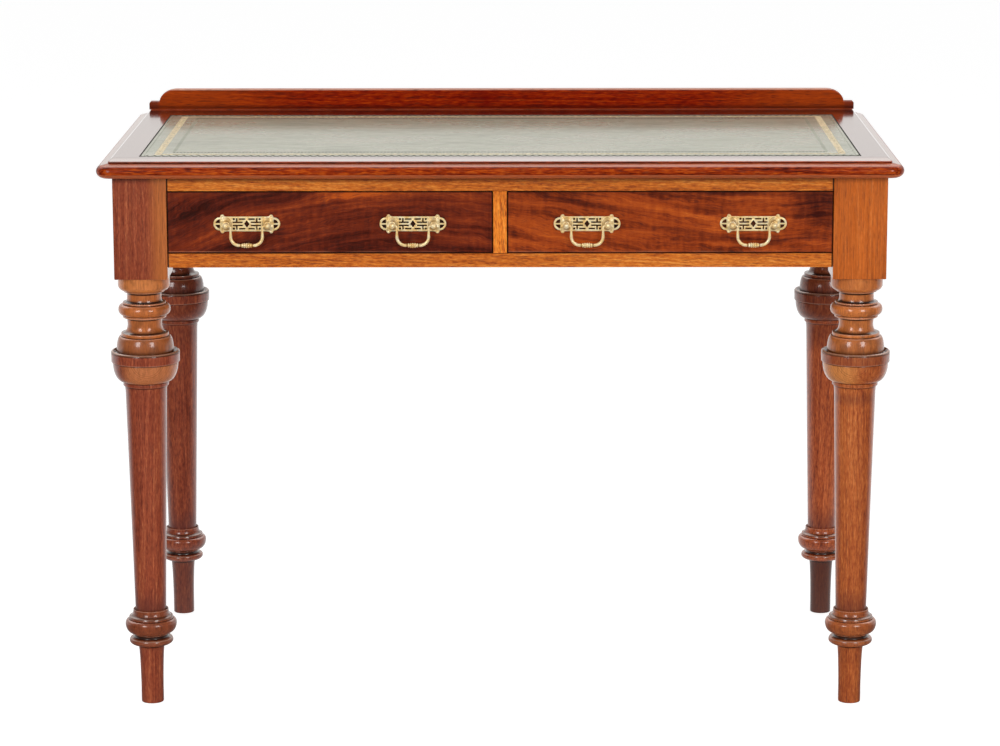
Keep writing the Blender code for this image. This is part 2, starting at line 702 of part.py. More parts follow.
def make_drawer_front(name, wood, parent):
    """Front with lapped sockets for the tails, a groove, and holes for the handle shanks."""
    bm = bmesh.new()
    add_box(bm, (-DRAWER_HALF_WIDTH, DRAWER_HALF_WIDTH), (0, DRAWER_FRONT_THICKNESS), FRONT_Z)
    board = add_object(name + "_front", bm, wood, parent)
    cuts = bmesh.new()
    past = DRAWER_FRONT_THICKNESS + CUT_PAST
    socket_x = (SIDE_X[0] - SEAT, SIDE_X[1] + CUT_PAST)
    for tail in tail_edge(FRONT_SHOULDER, FRONT_LAP, FRONT_Z, FRONT_TAIL_COUNT, SEAT):
        socket = [(past, tail[0][1]), *tail, (past, tail[3][1])]
        for side in (-1, 1):
            add_prism(cuts, "x", socket, *mirrored(socket_x, side))
    groove_half = SIDE_X[0] - 2 * SEAT
    groove_y = (DRAWER_FRONT_THICKNESS - GROOVE_DEPTH, past)
    add_box(cuts, (-groove_half, groove_half), groove_y, grown(BOTTOM_Z, SEAT))
    for handle in (-1, 1):
        for post in (-1, 1):
            x = handle * HANDLE_SPREAD + post * POST_SPREAD
            z = HANDLE_HEIGHT - PIVOT_DROP
            add_prism(cuts, "y", shank_hole(x, z), -CUT_PAST, past)
    carve(board, cuts)


def make_drawer_back_and_bottom(name, wood, parent):
    """Back notched round the tails of the sides, and the bottom that slides in under it."""
    bm = bmesh.new()
    add_box(bm, (-DRAWER_HALF_WIDTH, DRAWER_HALF_WIDTH), (BACK_FACE, DRAWER_LENGTH), BACK_Z)
    board = add_object(name + "_back", bm, wood, parent)
    cuts = bmesh.new()
    socket_x = (SIDE_X[0] - SEAT, SIDE_X[1] + CUT_PAST)
    near = BACK_FACE - CUT_PAST
    for tail in tail_edge(BACK_SHOULDER, DRAWER_LENGTH, BACK_Z, BACK_TAIL_COUNT, SEAT):
        socket = [(near, tail[0][1]), *tail, (near, tail[3][1])]
        for side in (-1, 1):
            add_prism(cuts, "x", socket, *mirrored(socket_x, side))
    carve(board, cuts)

    wide = SIDE_X[0] + GROOVE_DEPTH - SEAT
    narrow = SIDE_X[0] - 3 * SEAT
    tongue = DRAWER_FRONT_THICKNESS - GROOVE_DEPTH + SEAT
    step = FRONT_SHOULDER + SEAT
    end = DRAWER_LENGTH - DRAWER_BOTTOM_INSET
    half = [(narrow, tongue), (narrow, step), (wide, step), (wide, end)]
    outline = half + [(-x, y) for x, y in reversed(half)]
    bm = bmesh.new()
    add_prism(bm, "z", outline, *BOTTOM_Z)
    add_object(name + "_bottom", bm, wood, parent)


def shank_hole(x, z):
    turns = [2 * math.pi * (i + 0.5) / POST_SIDES for i in range(POST_SIDES)]
    return [(x + SHANK_HOLE_RADIUS * math.cos(t), z + SHANK_HOLE_RADIUS * math.sin(t)) for t in turns]


def plate_outline():
    """Straight field with a pointed leaf and a half-round lobe at each end."""
    leaf_x = FIELD_HALF_LENGTH + LEAF_HALF_WIDTH
    lobe_x = leaf_x + LEAF_HALF_WIDTH
    quarter = [(FIELD_HALF_LENGTH - LEAF_HALF_WIDTH / 2, FIELD_HALF_HEIGHT)]
    quarter += arc(
        (leaf_x, FIELD_HALF_HEIGHT),
        (LEAF_HALF_WIDTH, LEAF_HALF_HEIGHT - FIELD_HALF_HEIGHT), LEAF_START_DEG, 0, LEAF_STEPS,
    )
    quarter += arc((lobe_x, 0), (LOBE_RADIUS, LOBE_RADIUS), 90, 0, LOBE_STEPS)
    right = quarter + [(x, -z) for x, z in reversed(quarter[:-1])]
    return right + [(-x, -z) for x, z in right]


def plate_holes():
    """Piercings of one quarter, repeated in all four, with the diamond and the post holes."""
    half_slot = SLOT_WIDTH / 2
    bar_start = PIERCED_HALF_LENGTH - BAR_LENGTH
    stem = PIERCED_HALF_LENGTH - STEM_INSET
    bar = (BAR_HEIGHT - half_slot, BAR_HEIGHT + half_slot)
    dash = [
        (DASH_START, DASH_HEIGHT - half_slot),
        (DASH_START + DASH_LENGTH, DASH_HEIGHT - half_slot),
        (DASH_START + DASH_LENGTH, DASH_HEIGHT + half_slot),
        (DASH_START, DASH_HEIGHT + half_slot),
    ]
    tee = [
        (bar_start, bar[0]),
        (PIERCED_HALF_LENGTH, bar[0]),
        (PIERCED_HALF_LENGTH, bar[1]),
        (stem + half_slot, bar[1]),
        (stem + half_slot, STEM_TOP),
        (stem - half_slot, STEM_TOP),
        (stem - half_slot, bar[1]),
        (bar_start, bar[1]),
    ]
    dot_x = (PIERCED_HALF_LENGTH - SLOT_WIDTH, PIERCED_HALF_LENGTH)
    dot_z = (DASH_HEIGHT - half_slot, DASH_HEIGHT + half_slot)
    dot = [(dot_x[0], dot_z[0]), (dot_x[1], dot_z[0]), (dot_x[1], dot_z[1]), (dot_x[0], dot_z[1])]
    lobe_x = FIELD_HALF_LENGTH + 2 * LEAF_HALF_WIDTH
    reach = LOBE_RADIUS - LOBE_RIM
    bar_turn = math.degrees(math.asin(LOBE_BAR / 2 / reach))
    fan = [(lobe_x, LOBE_BAR / 2), *arc((lobe_x, 0), (reach, reach), bar_turn, 90, FAN_STEPS)]
    holes = []
    for side in (-1, 1):
        for up in (-1, 1):
            holes += [[(side * x, up * z) for x, z in shape] for shape in (dash, tee, dot, fan)]
        holes.append(shank_hole(side * POST_SPREAD, -PIVOT_DROP))
    holes.append([
        (DIAMOND_HALF_WIDTH, 0),
        (0, DIAMOND_HALF_HEIGHT),
        (-DIAMOND_HALF_WIDTH, 0),
        (0, -DIAMOND_HALF_HEIGHT),
    ])
    return holes


def make_backplate(name, brass, parent):
    """Pierced plate: its outline and holes are filled together and then thickened."""
    bm = bmesh.new()
    edges = []
    for loop in [plate_outline(), *plate_holes()]:
        points = [bm.verts.new((x, -SEAT, z)) for x, z in loop]
        edges += [bm.edges.new((a, b)) for a, b in zip(points, points[1:] + points[:1])]
    bmesh.ops.triangle_fill(bm, edges=edges, use_beauty=True)
    front = bmesh.ops.extrude_face_region(bm, geom=list(bm.faces))["geom"]
    moved = [part for part in front if isinstance(part, bmesh.types.BMVert)]
    bmesh.ops.translate(bm, verts=moved, vec=(0, -PLATE_THICKNESS, 0))
    add_object(name + "_backplate", bm, brass, parent)


PLATE_FACE = SEAT + PLATE_THICKNESS
PIVOT_Y = -(PLATE_FACE + PIVOT_REACH)


def make_posts(name, brass, parent):
    """Turned posts with an eye for the bail, each held by a square nut inside the drawer."""
    nut_back = DRAWER_FRONT_THICKNESS + SEAT + NUT_THICKNESS
    collar = PLATE_FACE + SEAT
    head_start = math.asin(NECK_RADIUS / HEAD_RADIUS)
    profile = [
        (SHANK_RADIUS, -nut_back),
        (SHANK_RADIUS, collar),
        (COLLAR_RADIUS, collar),
        (COLLAR_RADIUS, collar + COLLAR_THICKNESS / 2),
        (NECK_RADIUS, collar + COLLAR_THICKNESS),
    ]
    for i in range(HEAD_STEPS + 1):
        turn = math.pi - head_start - (math.pi - 2 * head_start) * i / HEAD_STEPS
        profile.append((HEAD_RADIUS * math.sin(turn), -PIVOT_Y + HEAD_RADIUS * math.cos(turn)))
    for word, side in (("left", -1), ("right", 1)):
        place = (side * POST_SPREAD, 0, -PIVOT_DROP)
        bm = bmesh.new()
        rings = [circle(radius, height, POST_SIDES) for radius, height in profile]
        add_loft(bm, [[(x, -z, y) for x, y, z in ring] for ring in rings])
        post = add_object(name + "_post_" + word, bm, brass, parent, place, smooth=True)
        cuts = bmesh.new()
        reach = HEAD_RADIUS + CUT_PAST
        eye = circle(EYE_RADIUS, 0, POST_SIDES)
        add_prism(cuts, "x", [(PIVOT_Y + a, b) for a, b, _ in eye], -reach, reach)
        carve(post, cuts)

        bm = bmesh.new()
        half = NUT_SIZE / 2
        nut_y = (DRAWER_FRONT_THICKNESS + SEAT, nut_back)
        add_box(bm, (-half, half), nut_y, (-half, half))
        nut = add_object(name + "_nut_" + word, bm, brass, parent, place)
        cuts = bmesh.new()
        add_prism(cuts, "y", shank_hole(0, 0), nut_y[0] - CUT_PAST, nut_y[1] + CUT_PAST)
        carve(nut, cuts)


def bail_path():
    """(x, z, radius) along the bail from its right pin to the middle of its knop."""
    neck_x = BAIL_HALF_WIDTH + BAIL_NECK_BEND
    path = [(POST_SPREAD + HEAD_RADIUS / 2, 0, PIN_RADIUS)]
    neck = arc((neck_x, -BAIL_NECK_BEND), (BAIL_NECK_BEND,) * 2, 90, 180, BAIL_NECK_STEPS)
    path += [(x, z, PIN_RADIUS) for x, z in neck]
    bend = (BAIL_HALF_WIDTH - BAIL_CORNER_RADIUS, -BAIL_DROP + BAIL_CORNER_RADIUS)
    corner = arc(bend, (BAIL_CORNER_RADIUS,) * 2, 0, -90, BAIL_CORNER_STEPS)
    path += [(x, z, BAIL_RADIUS) for x, z in corner]
    pitch = KNOP_HALF_LENGTH / KNOP_RING_COUNT
    for ring in range(KNOP_RING_COUNT, 0, -1):
        path.append((pitch * ring, -BAIL_DROP, KNOP_GROOVE_RADIUS))
        path.append((pitch * (ring - 0.5), -BAIL_DROP, KNOP_RADIUS))
    path.append((0, -BAIL_DROP, KNOP_GROOVE_RADIUS))
    return path


def make_bail(name, brass, parent):
    """Swinging bail, its pins in the eyes of the posts and its origin on their common axis."""
    half = bail_path()
    path = half + [(-x, z, radius) for x, z, radius in reversed(half[:-1])]
    rings = []
    for i, (x, z, radius) in enumerate(path):
        before = path[max(i - 1, 0)]
        after = path[min(i + 1, len(path) - 1)]
        along = math.atan2(after[1] - before[1], after[0] - before[0])
        ring = []
        for a, b, _ in circle(radius, 0, BAIL_SIDES):
            ring.append((x - a * math.sin(along), b, z + a * math.cos(along)))
        rings.append(ring)
    bm = bmesh.new()
    add_loft(bm, rings)
    add_object(name + "_bail", bm, brass, parent, (0, PIVOT_Y, -PIVOT_DROP), smooth=True)


def make_drawer(word, side, front_wood, inner_wood, brass):
    """A dovetailed drawer with two drop handles."""
    name = word + "_drawer"
    origin = add_empty(name, (side * DRAWER_X, FRONT_Y, RUN_Z))
    make_drawer_front(name, front_wood, origin)
    make_drawer_sides(name, inner_wood, origin)
    make_drawer_back_and_bottom(name, inner_wood, origin)
    for place, handle_side in (("left", -1), ("right", 1)):
        handle = name + "_" + place
        centre = add_empty(handle + "_handle", (handle_side * HANDLE_SPREAD, 0, HANDLE_HEIGHT), origin)
        make_backplate(handle, brass, centre)
        make_posts(handle, brass, centre)
        make_bail(handle, brass, centre)


def main():
    clear_scene()
    mahogany = make_material("mahogany", (0.22, 0.065, 0.028), 0.25)
    rail_wood = make_material("rail_mahogany", (0.42, 0.15, 0.05), 0.28)
    left_front = make_material("left_front_mahogany", (0.10, 0.022, 0.012), 0.22)
    right_front = make_material("right_front_mahogany", (0.24, 0.065, 0.022), 0.22)
    plain_wood = make_material("drawer_lining_wood", (0.45, 0.27, 0.13), 0.6)
    leather = make_material("green_leather", (0.46, 0.46, 0.39), 0.5)
    brass = make_material("brass", (0.80, 0.60, 0.28), 0.25, 1.0)

    for end_word, end in (("front", -1), ("back", 1)):
        for word, side in (("left", -1), ("right", 1)):
            make_leg("leg_" + end_word + "_" + word, side, end, mahogany)
    make_frame(mahogany, rail_wood)
    make_bearers(plain_wood)
    make_top(mahogany, leather)
    make_gallery(mahogany)
    make_drawer("left", -1, left_front, plain_wood, brass)
    make_drawer("right", 1, right_front, plain_wood, brass)


main()
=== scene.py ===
"""Looks of a writing table: polished mahogany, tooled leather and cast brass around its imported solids.

Metres, +Z up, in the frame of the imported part. The drawers face -Y.
"""
import json
import math

import bmesh
import bpy
from mathutils import Matrix, Vector


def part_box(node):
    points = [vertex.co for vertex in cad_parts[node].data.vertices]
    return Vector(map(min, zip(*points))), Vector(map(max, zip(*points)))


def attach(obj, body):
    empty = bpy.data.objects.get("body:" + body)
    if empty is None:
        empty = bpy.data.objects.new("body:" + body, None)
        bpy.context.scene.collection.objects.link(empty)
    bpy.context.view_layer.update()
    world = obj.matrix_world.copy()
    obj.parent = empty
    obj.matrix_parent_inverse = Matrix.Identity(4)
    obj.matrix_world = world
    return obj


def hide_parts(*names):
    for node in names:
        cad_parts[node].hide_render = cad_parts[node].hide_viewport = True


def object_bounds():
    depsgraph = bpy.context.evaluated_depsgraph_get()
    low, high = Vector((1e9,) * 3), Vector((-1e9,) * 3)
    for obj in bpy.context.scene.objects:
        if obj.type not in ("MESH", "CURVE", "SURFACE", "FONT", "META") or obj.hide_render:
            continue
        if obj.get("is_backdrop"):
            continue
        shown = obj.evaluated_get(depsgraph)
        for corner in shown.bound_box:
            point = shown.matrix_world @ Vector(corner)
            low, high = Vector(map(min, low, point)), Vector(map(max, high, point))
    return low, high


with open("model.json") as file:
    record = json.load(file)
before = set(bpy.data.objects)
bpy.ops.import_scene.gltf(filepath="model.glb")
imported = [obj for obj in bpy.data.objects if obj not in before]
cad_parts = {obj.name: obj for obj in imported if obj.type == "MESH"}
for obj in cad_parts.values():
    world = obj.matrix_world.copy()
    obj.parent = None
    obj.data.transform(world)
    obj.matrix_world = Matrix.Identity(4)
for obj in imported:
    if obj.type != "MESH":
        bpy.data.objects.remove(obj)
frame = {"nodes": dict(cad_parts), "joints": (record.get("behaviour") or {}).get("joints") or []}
CAD_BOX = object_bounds()

# Camera fitted to the photograph
CAMERA_PLACE = (0.020, -4.858, 1.387)
CAMERA_PITCH_DEG = 11.383
CAMERA_YAW_DEG = 0.2533
CAMERA_ROLL_DEG = -0.085
CAMERA_LENS_MM = 126.83
CAMERA_SENSOR_MM = 36.0
CAMERA_REACH = 200.0

# Light: the depth and rise of the room and the gleam are parts of a direction
SOFTBOX_PLACE = (2.25, -4.1, 2.1)
SOFTBOX_SIZE = (1.3, 2.0)
SOFTBOX_WATTS = 75.0
SOFTBOX_AIM = (0.0, 0.0, 0.45)
OVERHEAD_PLACE = (0.0, -1.2, 3.2)
OVERHEAD_SIZE = (2.6, 1.6)
OVERHEAD_WATTS = 30.0
WHITE = (1.0, 1.0, 1.0, 1.0)
ROOM_LIGHT = 0.12
ROOM_DEPTH = (-0.15, 0.55)
BACKDROP_LIGHT = 0.88
GLEAM_LIGHT = 2.6
GLEAM_DEPTH = (0.05, 0.35)
GLEAM_RISE = (0.25, 0.80)
GLEAM_COLOR = (1.0, 0.94, 0.90, 1.0)
MIRRORED_COLOR = (1.0, 0.945, 0.915, 1.0)
FLOOR_SIZE = 60.0
FLOOR_DROP = 0.0004
FLOOR_GLOW = 0.74
FLOOR_SHADE = (0.60, 0.60, 0.60, 1.0)
FLOOR_UNSEEN = (0.82, 0.82, 0.82, 1.0)
FLOOR_MIRRORED = 0.03
FLOOR_MIRRORED_DEPTH = (-0.4, 0.8)

# Finish of the solids
SMOOTH_DEG = 38
SEAT = 0.0003
ARRIS = 0.0006
FRONT_ARRIS = 0.0010
NUT_ARRIS = 0.0003
BEVEL_FROM = math.radians(40)
WELD_REACH = 0.00001
FLAT_WITHIN = math.radians(1)
TOUCHING = 1e-6
HOLLOW = "hollow"


def fillet(rise, radius, end):
    """Members of a leg: a step to a radius, a straight run there and a step to the next radius."""
    return [("line", 0.0, radius), ("line", rise, radius), ("line", 0.0, end)]


# Turned legs: each member has a shape, a rise and the radius that it ends at
POST_HALF = 0.0355
POST_BOTTOM = 0.5885
POST_ARRIS = 0.0011
LEG_SIDES = 80
LEG_CHORD = 0.0013
LEG_RUN = 0.004
LEG_ROUNDING = 0.0007
HOLLOW_REACH = 0.0024
SOLE_RADIUS = 0.0145
LEG_COLLAR_RADIUS = 0.0345
LEG_BELOW_SHAFT = [
    ("round", 0.0020, 0.0150),
    ("hollow", 0.0786, 0.0181),
    ("round", 0.0062, 0.0296),
    ("round", 0.0040, 0.0274),
    ("line", 0.0010, 0.0230),
    ("line", 0.0036, 0.0224),
    *fillet(0.0014, 0.0240, 0.0224),
    *fillet(0.0010, 0.0224, 0.0258),
    ("round", 0.0132, 0.0347),
    ("round", 0.0058, 0.0304),
    *fillet(0.0008, 0.0288, 0.0302),
    ("line", 0.0034, 0.0292),
    ("line", 0.0000, 0.0285),
    ("hollow", 0.0085, 0.0238),
    *fillet(0.0010, 0.0238, 0.0231),
    ("line", -0.0040, 0.0214),
    ("line", 0.0005, 0.0206),
]
SHAFT_TOP_RADIUS = 0.0274
LEG_ABOVE_SHAFT = [
    ("hollow", 0.0150, 0.0293),
    *fillet(0.0046, 0.0304, 0.0290),
    *fillet(0.0008, 0.0290, 0.0306),
    ("round", 0.0256, 0.0437),
    *fillet(0.0010, 0.0428, 0.0456),
    ("line", 0.0120, 0.0458),
    *fillet(0.0007, 0.0450, 0.0459),
    ("round", 0.0028, 0.0430),
    ("line", -0.0030, 0.0400),
    ("line", 0.0000, 0.0374),
    ("line", 0.0020, 0.0382),
    ("round", 0.0205, 0.0330),
    *fillet(0.0007, 0.0306, 0.0318),
    ("line", 0.0042, 0.0315),
    ("line", 0.0000, 0.0290),
    ("hollow", 0.0116, 0.0228),
    ("line", 0.0088, 0.0236),
    ("line", 0.0000, 0.0288),
    ("line", 0.0029, 0.0292),
    *fillet(0.0008, 0.0274, 0.0294),
    ("round", 0.0071, 0.0348),
    ("round", 0.0070, 0.0300),
    *fillet(0.0010, 0.0266, 0.0287),
    ("line", 0.0022, 0.0285),
    ("line", 0.0000, 0.0250),
    ("hollow", 0.0062, 0.0229),
    ("line", 0.0076, 0.0228),
    ("line", 0.0000, 0.0270),
    ("line", 0.0014, 0.0278),
    ("line", 0.0000, 0.0258),
    ("round", 0.0078, LEG_COLLAR_RADIUS),
    ("line", 0.0117, LEG_COLLAR_RADIUS),
]

# Foot of a leg's square post: inset and rise as shares of its arris, and a hollow value
POST_FOOT = ((1.0, 0.0, 0.2), (0.3, 0.3, -0.2), (0.0, 1.0, 0.0))

# Heights between which a leg's colour changes
FOOT_BEADS = (0.0806, 0.1330)
SHAFT_FOOT = (0.1310, 0.1680)
UNDER_BOWL_SHADE = (0.4180, 0.4300)
SHAFT_HEAD = (0.4100, 0.4459)
BOWL = (0.4459, 0.4715)
BAND = (0.4720, 0.4852)
DOME = (0.4855, 0.5078)
FOOT = (-0.01, FOOT_BEADS[0])
UPPER_TURNING = (0.4855, POST_BOTTOM)
COLLAR = (POST_BOTTOM - 0.0195, POST_BOTTOM)
POST = (POST_BOTTOM, 0.75)
TOP_SHADE = (0.7165, 0.7240)

# Lines of wax and painted shade on a leg as height and reach, the middle of its bowl's figure, and where
# tints start and fade
WAX_SHADE_LINES = ((0.0895, 0.0010), (0.1196, 0.0040), (0.4855, 0.0080), (0.5124, 0.0050), (0.5538, 0.0055))
BOWL_FIGURE = (0.006, 0.4790)
EVERYWHERE = -POST_HALF * 2
TINT_SOFT = 0.0008
SAP_SOFT = 0.024

# Shading: the rails' open joints, the depth of wood grain, and the values that tones are spread over
JOINT_GAP = (0.0026, 0.0014)
WOOD_BUMP = 0.0006
VENEER_SPAN = (0.378, 0.663)
MIDDLE_SPAN = (0.36, 0.64)

# Edge of the top
NOSE_WIDTH = 0.0105
NOSE_LOWER = 0.0092
NOSE_UPPER = 0.0078
NOSE_SHOULDER = 0.0075
NOSE_STEPS = 12
QUIRK_INSET = 0.0158
BACK_QUIRK_INSET = 0.0112
QUIRK_FOOT = 0.0057
POLISHED_BELOW = 0.0088
FRONT_ROLL_WIDTH = 0.0165
SIDE_ROLL_WIDTH = 0.0045
BACK_ROLL_WIDTH = 0.0060
ROLL_DROP = 0.0043
ROLL_FALL = 0.62
TOP_CORNER_RADIUS = 0.020
TOP_CORNER_LEAST = 0.002
TOP_CORNER_STEPS = 12

# Hollow values of the top: negative where it is worn and lit with a painted highlight, positive where wax
# gathers and shade is painted
NOSE_WORN_SHEEN = -0.90
NOSE_TOP_WORN_SHEEN = -0.3
QUIRK_RIM_WORN_SHEEN = -0.8
QUIRK_WAX_SHADE = 0.55
ROLL_WORN_SHEEN = -0.75
SEAT_WAX_SHADE = 0.4

# Gallery
GALLERY_TAB_LENGTH = 0.015
GALLERY_TAB_HEIGHT = 0.0113
GALLERY_TAB_ROUND = 0.003
GALLERY_SHOULDER_LENGTH = 0.026
GALLERY_ARC_STEPS = 16
GALLERY_ROUNDING = 0.0016

# Tooling of the leather: places as distances from its edge, widths and pitches
HIDE_ROUNDING = 0.0005
GILT_START = 0.0185
GILT_END = 0.0274
GILT_LINE = 0.0009
GILT_PITCH = 0.0085
GILT_RISE = 0.00004
BLIND_LINE = 0.0422
BLIND_BROAD = 0.0078
BLIND_FINE = 0.0064
BLIND_PITCH = 0.0046
CUT_LINE = 0.0024
FILLET_LINE = 0.0060
FILLET_WIDTH = 0.0014
PALE_BAND = (0.0140, 0.0370)
SCALLOP_PITCH = 0.0098
SCALLOP_START = 0.0005
SCALLOP_DEPTH = 0.0095
SCALLOP_BROAD = 0.0122

# Gilt motif, as shares of its pitch and of half the band
LOZENGE = ((-0.44, 0), (0, -1), (0.44, 0), (0, 1))
LOZENGE_INSIDE = ((-0.28, 0), (0, -0.66), (0.28, 0), (0, 0.66))
LOZENGE_DOT = (0.13, 0.30)
GILT_LEAF = ((0.30, 0.95), (0.5, 0.42), (0.70, 0.95), (0.5, 0.78))

# Drop handles
PLATE_THICKNESS = 0.0018
PLATE_BEVEL = 0.00028
PLATE_EDGE_SHADE = 0.25
FIELD_HALF_LENGTH = 0.0290
FIELD_HALF_HEIGHT = 0.0098
LEAF_HALF_WIDTH = 0.0032
LEAF_HALF_HEIGHT = 0.0125
LEAF_RELIEF = 0.75
LEAF_LEAST = 0.00012
LEAF_STEPS = 44
LEAF_SIDES = 12
LOBE_RADIUS = 0.0086
LOBE_RIM = 0.0026
LOBE_BAR = 0.0020
PIERCED_HALF_LENGTH = 0.0186
DIAMOND_HALF_WIDTH = 0.0037
DIAMOND_HALF_HEIGHT = 0.0050
DIAMOND_RIM = 0.0016
DIAMOND_RIM_RISE = 0.0006
SLOT_WIDTH = 0.0020
DOT_RADIUS = 0.0015
DASH_START = 0.0021
DASH_LENGTH = 0.0083
DASH_HEIGHT = 0.0064
BAR_LENGTH = 0.0132
BAR_HEIGHT = 0.0021
STEM_INSET = 0.0054
STEM_TOP = 0.0076
BOSS_INSET = 0.0008
BOSS_RADII = (0.0068, 0.0086)
BOSS_RISE = 0.0009
POST_SPREAD = 0.0275
SHANK_RADIUS = 0.0019
SHANK_TIP_RADIUS = 0.0004
COLLAR_RADIUS = 0.0046
COLLAR_THICKNESS = 0.0014
NECK_RADIUS = 0.0026
HEAD_RADIUS = 0.0038
POST_HOLLOW_REACH = 0.0012
PIN_RADIUS = 0.0012
PIN_CHAMFER = 0.0003
EYE_PLAY = 0.0003
BRASS_SIDES = 28
BAIL_DROP = 0.0258
BAIL_NECK_BEND = 0.0028
BAIL_CORNER_RADIUS = 0.0115
BAIL_RADIUS = 0.0020
BAIL_ARM_STEPS = 6
KNOP_HALF_LENGTH = 0.0070
KNOP_RING_RADII = (0.0027, 0.0033, 0.0033, 0.0033, 0.0027)
KNOP_GROOVE_RADIUS = 0.0018
KNOP_STEPS = 60
KNOP_DARK_BELOW = 0.0026
KNOP_DARK_OVER = 0.0010

# Section of a boss: rise, share of its radii and hollow value; and of the diamond's rim: growth and rise
BOSS_SECTION = ((-0.4, 1.0, 0.5), (0.0, 1.0, 0.5), (0.45, 0.86, 0.32), (0.78, 0.62, 0.34), (1.0, 0.30, 0.6))
RIM_SECTION = ((0.0, -0.3), (0.0, 0.45), (0.45, 1.0), (1.0, 0.45), (1.0, -0.3))

# Turns a mesh that lies in the x-y plane upright, with its face to the front
UPRIGHT = Matrix(((1, 0, 0, 0), (0, 0, -1, 0), (0, 1, 0, 0), (0, 0, 0, 1)))


def srgb(red, green, blue):
    """A colour given in 0 to 255 display values, as linear RGBA."""
    linear = []
    for value in (red, green, blue):
        share = value / 255
        linear.append(share / 12.92 if value <= 10 else ((share + 0.055) / 1.055) ** 2.4)
    return (*linear, 1.0)


def palette(*colors):
    """Several display colours, as linear RGBA."""
    return [srgb(*color) for color in colors]


class Field:
    """A value in a tree of shader nodes. Sums, products and mixes of fields add the nodes for them."""

    def __init__(self, tree, socket):
        self.tree = tree
        self.socket = socket

    def node(self, kind, inputs, output=0, **settings):
        return add_node(self.tree, kind, inputs, output, **settings)

    def math(self, operation, first, second=0.0):
        return self.node("Math", {0: first, 1: second}, operation=operation)

    def __add__(self, other):
        return self.math("ADD", self, other)

    def __sub__(self, other):
        return self.math("SUBTRACT", self, other)

    def __rsub__(self, other):
        return self.math("SUBTRACT", other, self)

    def __mul__(self, other):
        return self.math("MULTIPLY", self, other)

    def __truediv__(self, other):
        return self.math("DIVIDE", self, other)

    def __abs__(self):
        return self.math("ABSOLUTE", self)

    def sine(self):
        return self.math("SINE", self)

    def least(self, other):
        return self.math("MINIMUM", self, other)

    def most(self, other):
        return self.math("MAXIMUM", self, other)

    def moved(self, offset):
        return self.node("VectorMath", {0: self, 1: offset}, operation="ADD")

    def stretched(self, scale):
        return self.node("VectorMath", {0: self, 1: scale}, operation="MULTIPLY")

    def length(self):
        return self.node("VectorMath", {0: self}, 1, operation="LENGTH")

    def parts(self):
        outputs = new_node(self.tree, "SeparateXYZ", {0: self}).outputs
        return [Field(self.tree, socket) for socket in outputs]

    def ranged(self, low, high, to_low=0.0, to_high=1.0):
        """One range brought to another, with soft ends."""
        inputs = {"Value": self, "From Min": low, "From Max": high, "To Min": to_low, "To Max": to_high}
        return self.node("MapRange", inputs, interpolation_type="SMOOTHSTEP")

    def between(self, start, end, soft):
        """1 between two values, soft at both ends."""
        return self.ranged(start - soft, start + soft) * self.ranged(end + soft, end - soft)

    def on_line(self, place, width):
        """1 on a line of that width, soft at its sides."""
        return abs(self - place).ranged(width / 2, width / 2 * 0.4)

    def noise(self, scale, detail=2.0, roughness=0.5, output=0):
        """Noise over a place, with a scale for each axis; output 1 has a value for each axis."""
        inputs = {"Vector": self.stretched(scale), "Scale": 1.0, "Detail": detail, "Roughness": roughness}
        return self.node("TexNoise", inputs, output)

    def noise_1d(self, detail=2.0, roughness=0.5):
        inputs = {"W": self, "Scale": 1.0, "Detail": detail, "Roughness": roughness}
        return self.node("TexNoise", inputs, noise_dimensions="1D")

    def pick(self, first, second):
        """One colour where this is 0 and another where it is 1."""
        return self.node("Mix", {0: self, 6: first, 7: second}, 2, data_type="RGBA")

    def toward(self, color, share):
        """This colour, brought towards another by a share."""
        return share.pick(self, color)

    def ramp(self, stops):
        """Colours along this value, from (value, colour) stops."""
        made = new_node(self.tree, "ValToRGB", {0: self})
        elements = made.color_ramp.elements
        while len(elements) < len(stops):
            elements.new(1.0)
        for element, (place, color) in zip(elements, stops):
            element.position = place
            element.color = color
        return Field(self.tree, made.outputs[0])

    def bump(self, strength, distance):
        return self.node("Bump", {"Height": self, "Strength": strength, "Distance": distance})


def plug(tree, socket, value):
    """Link a socket to a field, or give it a value."""
    if isinstance(value, Field):
        tree.links.new(value.socket, socket)
    else:
        socket.default_value = value


def new_node(tree, kind, inputs, **settings):
    """Add a shader node and fill its inputs with fields or values."""
    made = tree.nodes.new("ShaderNode" + kind)
    for key, value in settings.items():
        setattr(made, key, value)
    for key, value in inputs.items():
        plug(tree, made.inputs[key], value)
    return made


def add_node(tree, kind, inputs=None, output=0, **settings):
    """Add a shader node and return one of its outputs as a field."""
    made = new_node(tree, kind, inputs or {}, **settings)
    return Field(tree, made.outputs[output])


def joined(tree, x, y, z):
    return add_node(tree, "CombineXYZ", {0: x, 1: y, 2: z})


def rest_place(tree):
    """Where a point is while the part is at rest."""
    return add_node(tree, "TexCoord", output="Object")


def hollow_value(tree):
    """The hollow value that the new meshes carry."""
    return add_node(tree, "Attribute", output="Fac", attribute_name=HOLLOW)


def even_stops(colors, start, end):
    """Ramp stops with the colours at even steps."""
    step = (end - start) / (len(colors) - 1)
    return [(start + step * i, color) for i, color in enumerate(colors)]


def new_material(name):
    """A material and its tree of nodes."""
    material = bpy.data.materials.new(name)
    material.use_nodes = True
    return material, material.node_tree


def set_shader(tree, **values):
    """Fill the main shader's sockets, named with underscores for spaces, with fields or values."""
    shader = tree.nodes["Principled BSDF"]
    for key, value in values.items():
        plug(tree, shader.inputs[key.replace("_", " ")], value)


def grain_space(tree, grain):
    """Rest coordinates in the order across, across, along the grain."""
    x, y, z = rest_place(tree).parts()
    return joined(tree, *{"x": (y, z, x), "y": (z, x, y), "z": (x, y, z)}[grain])


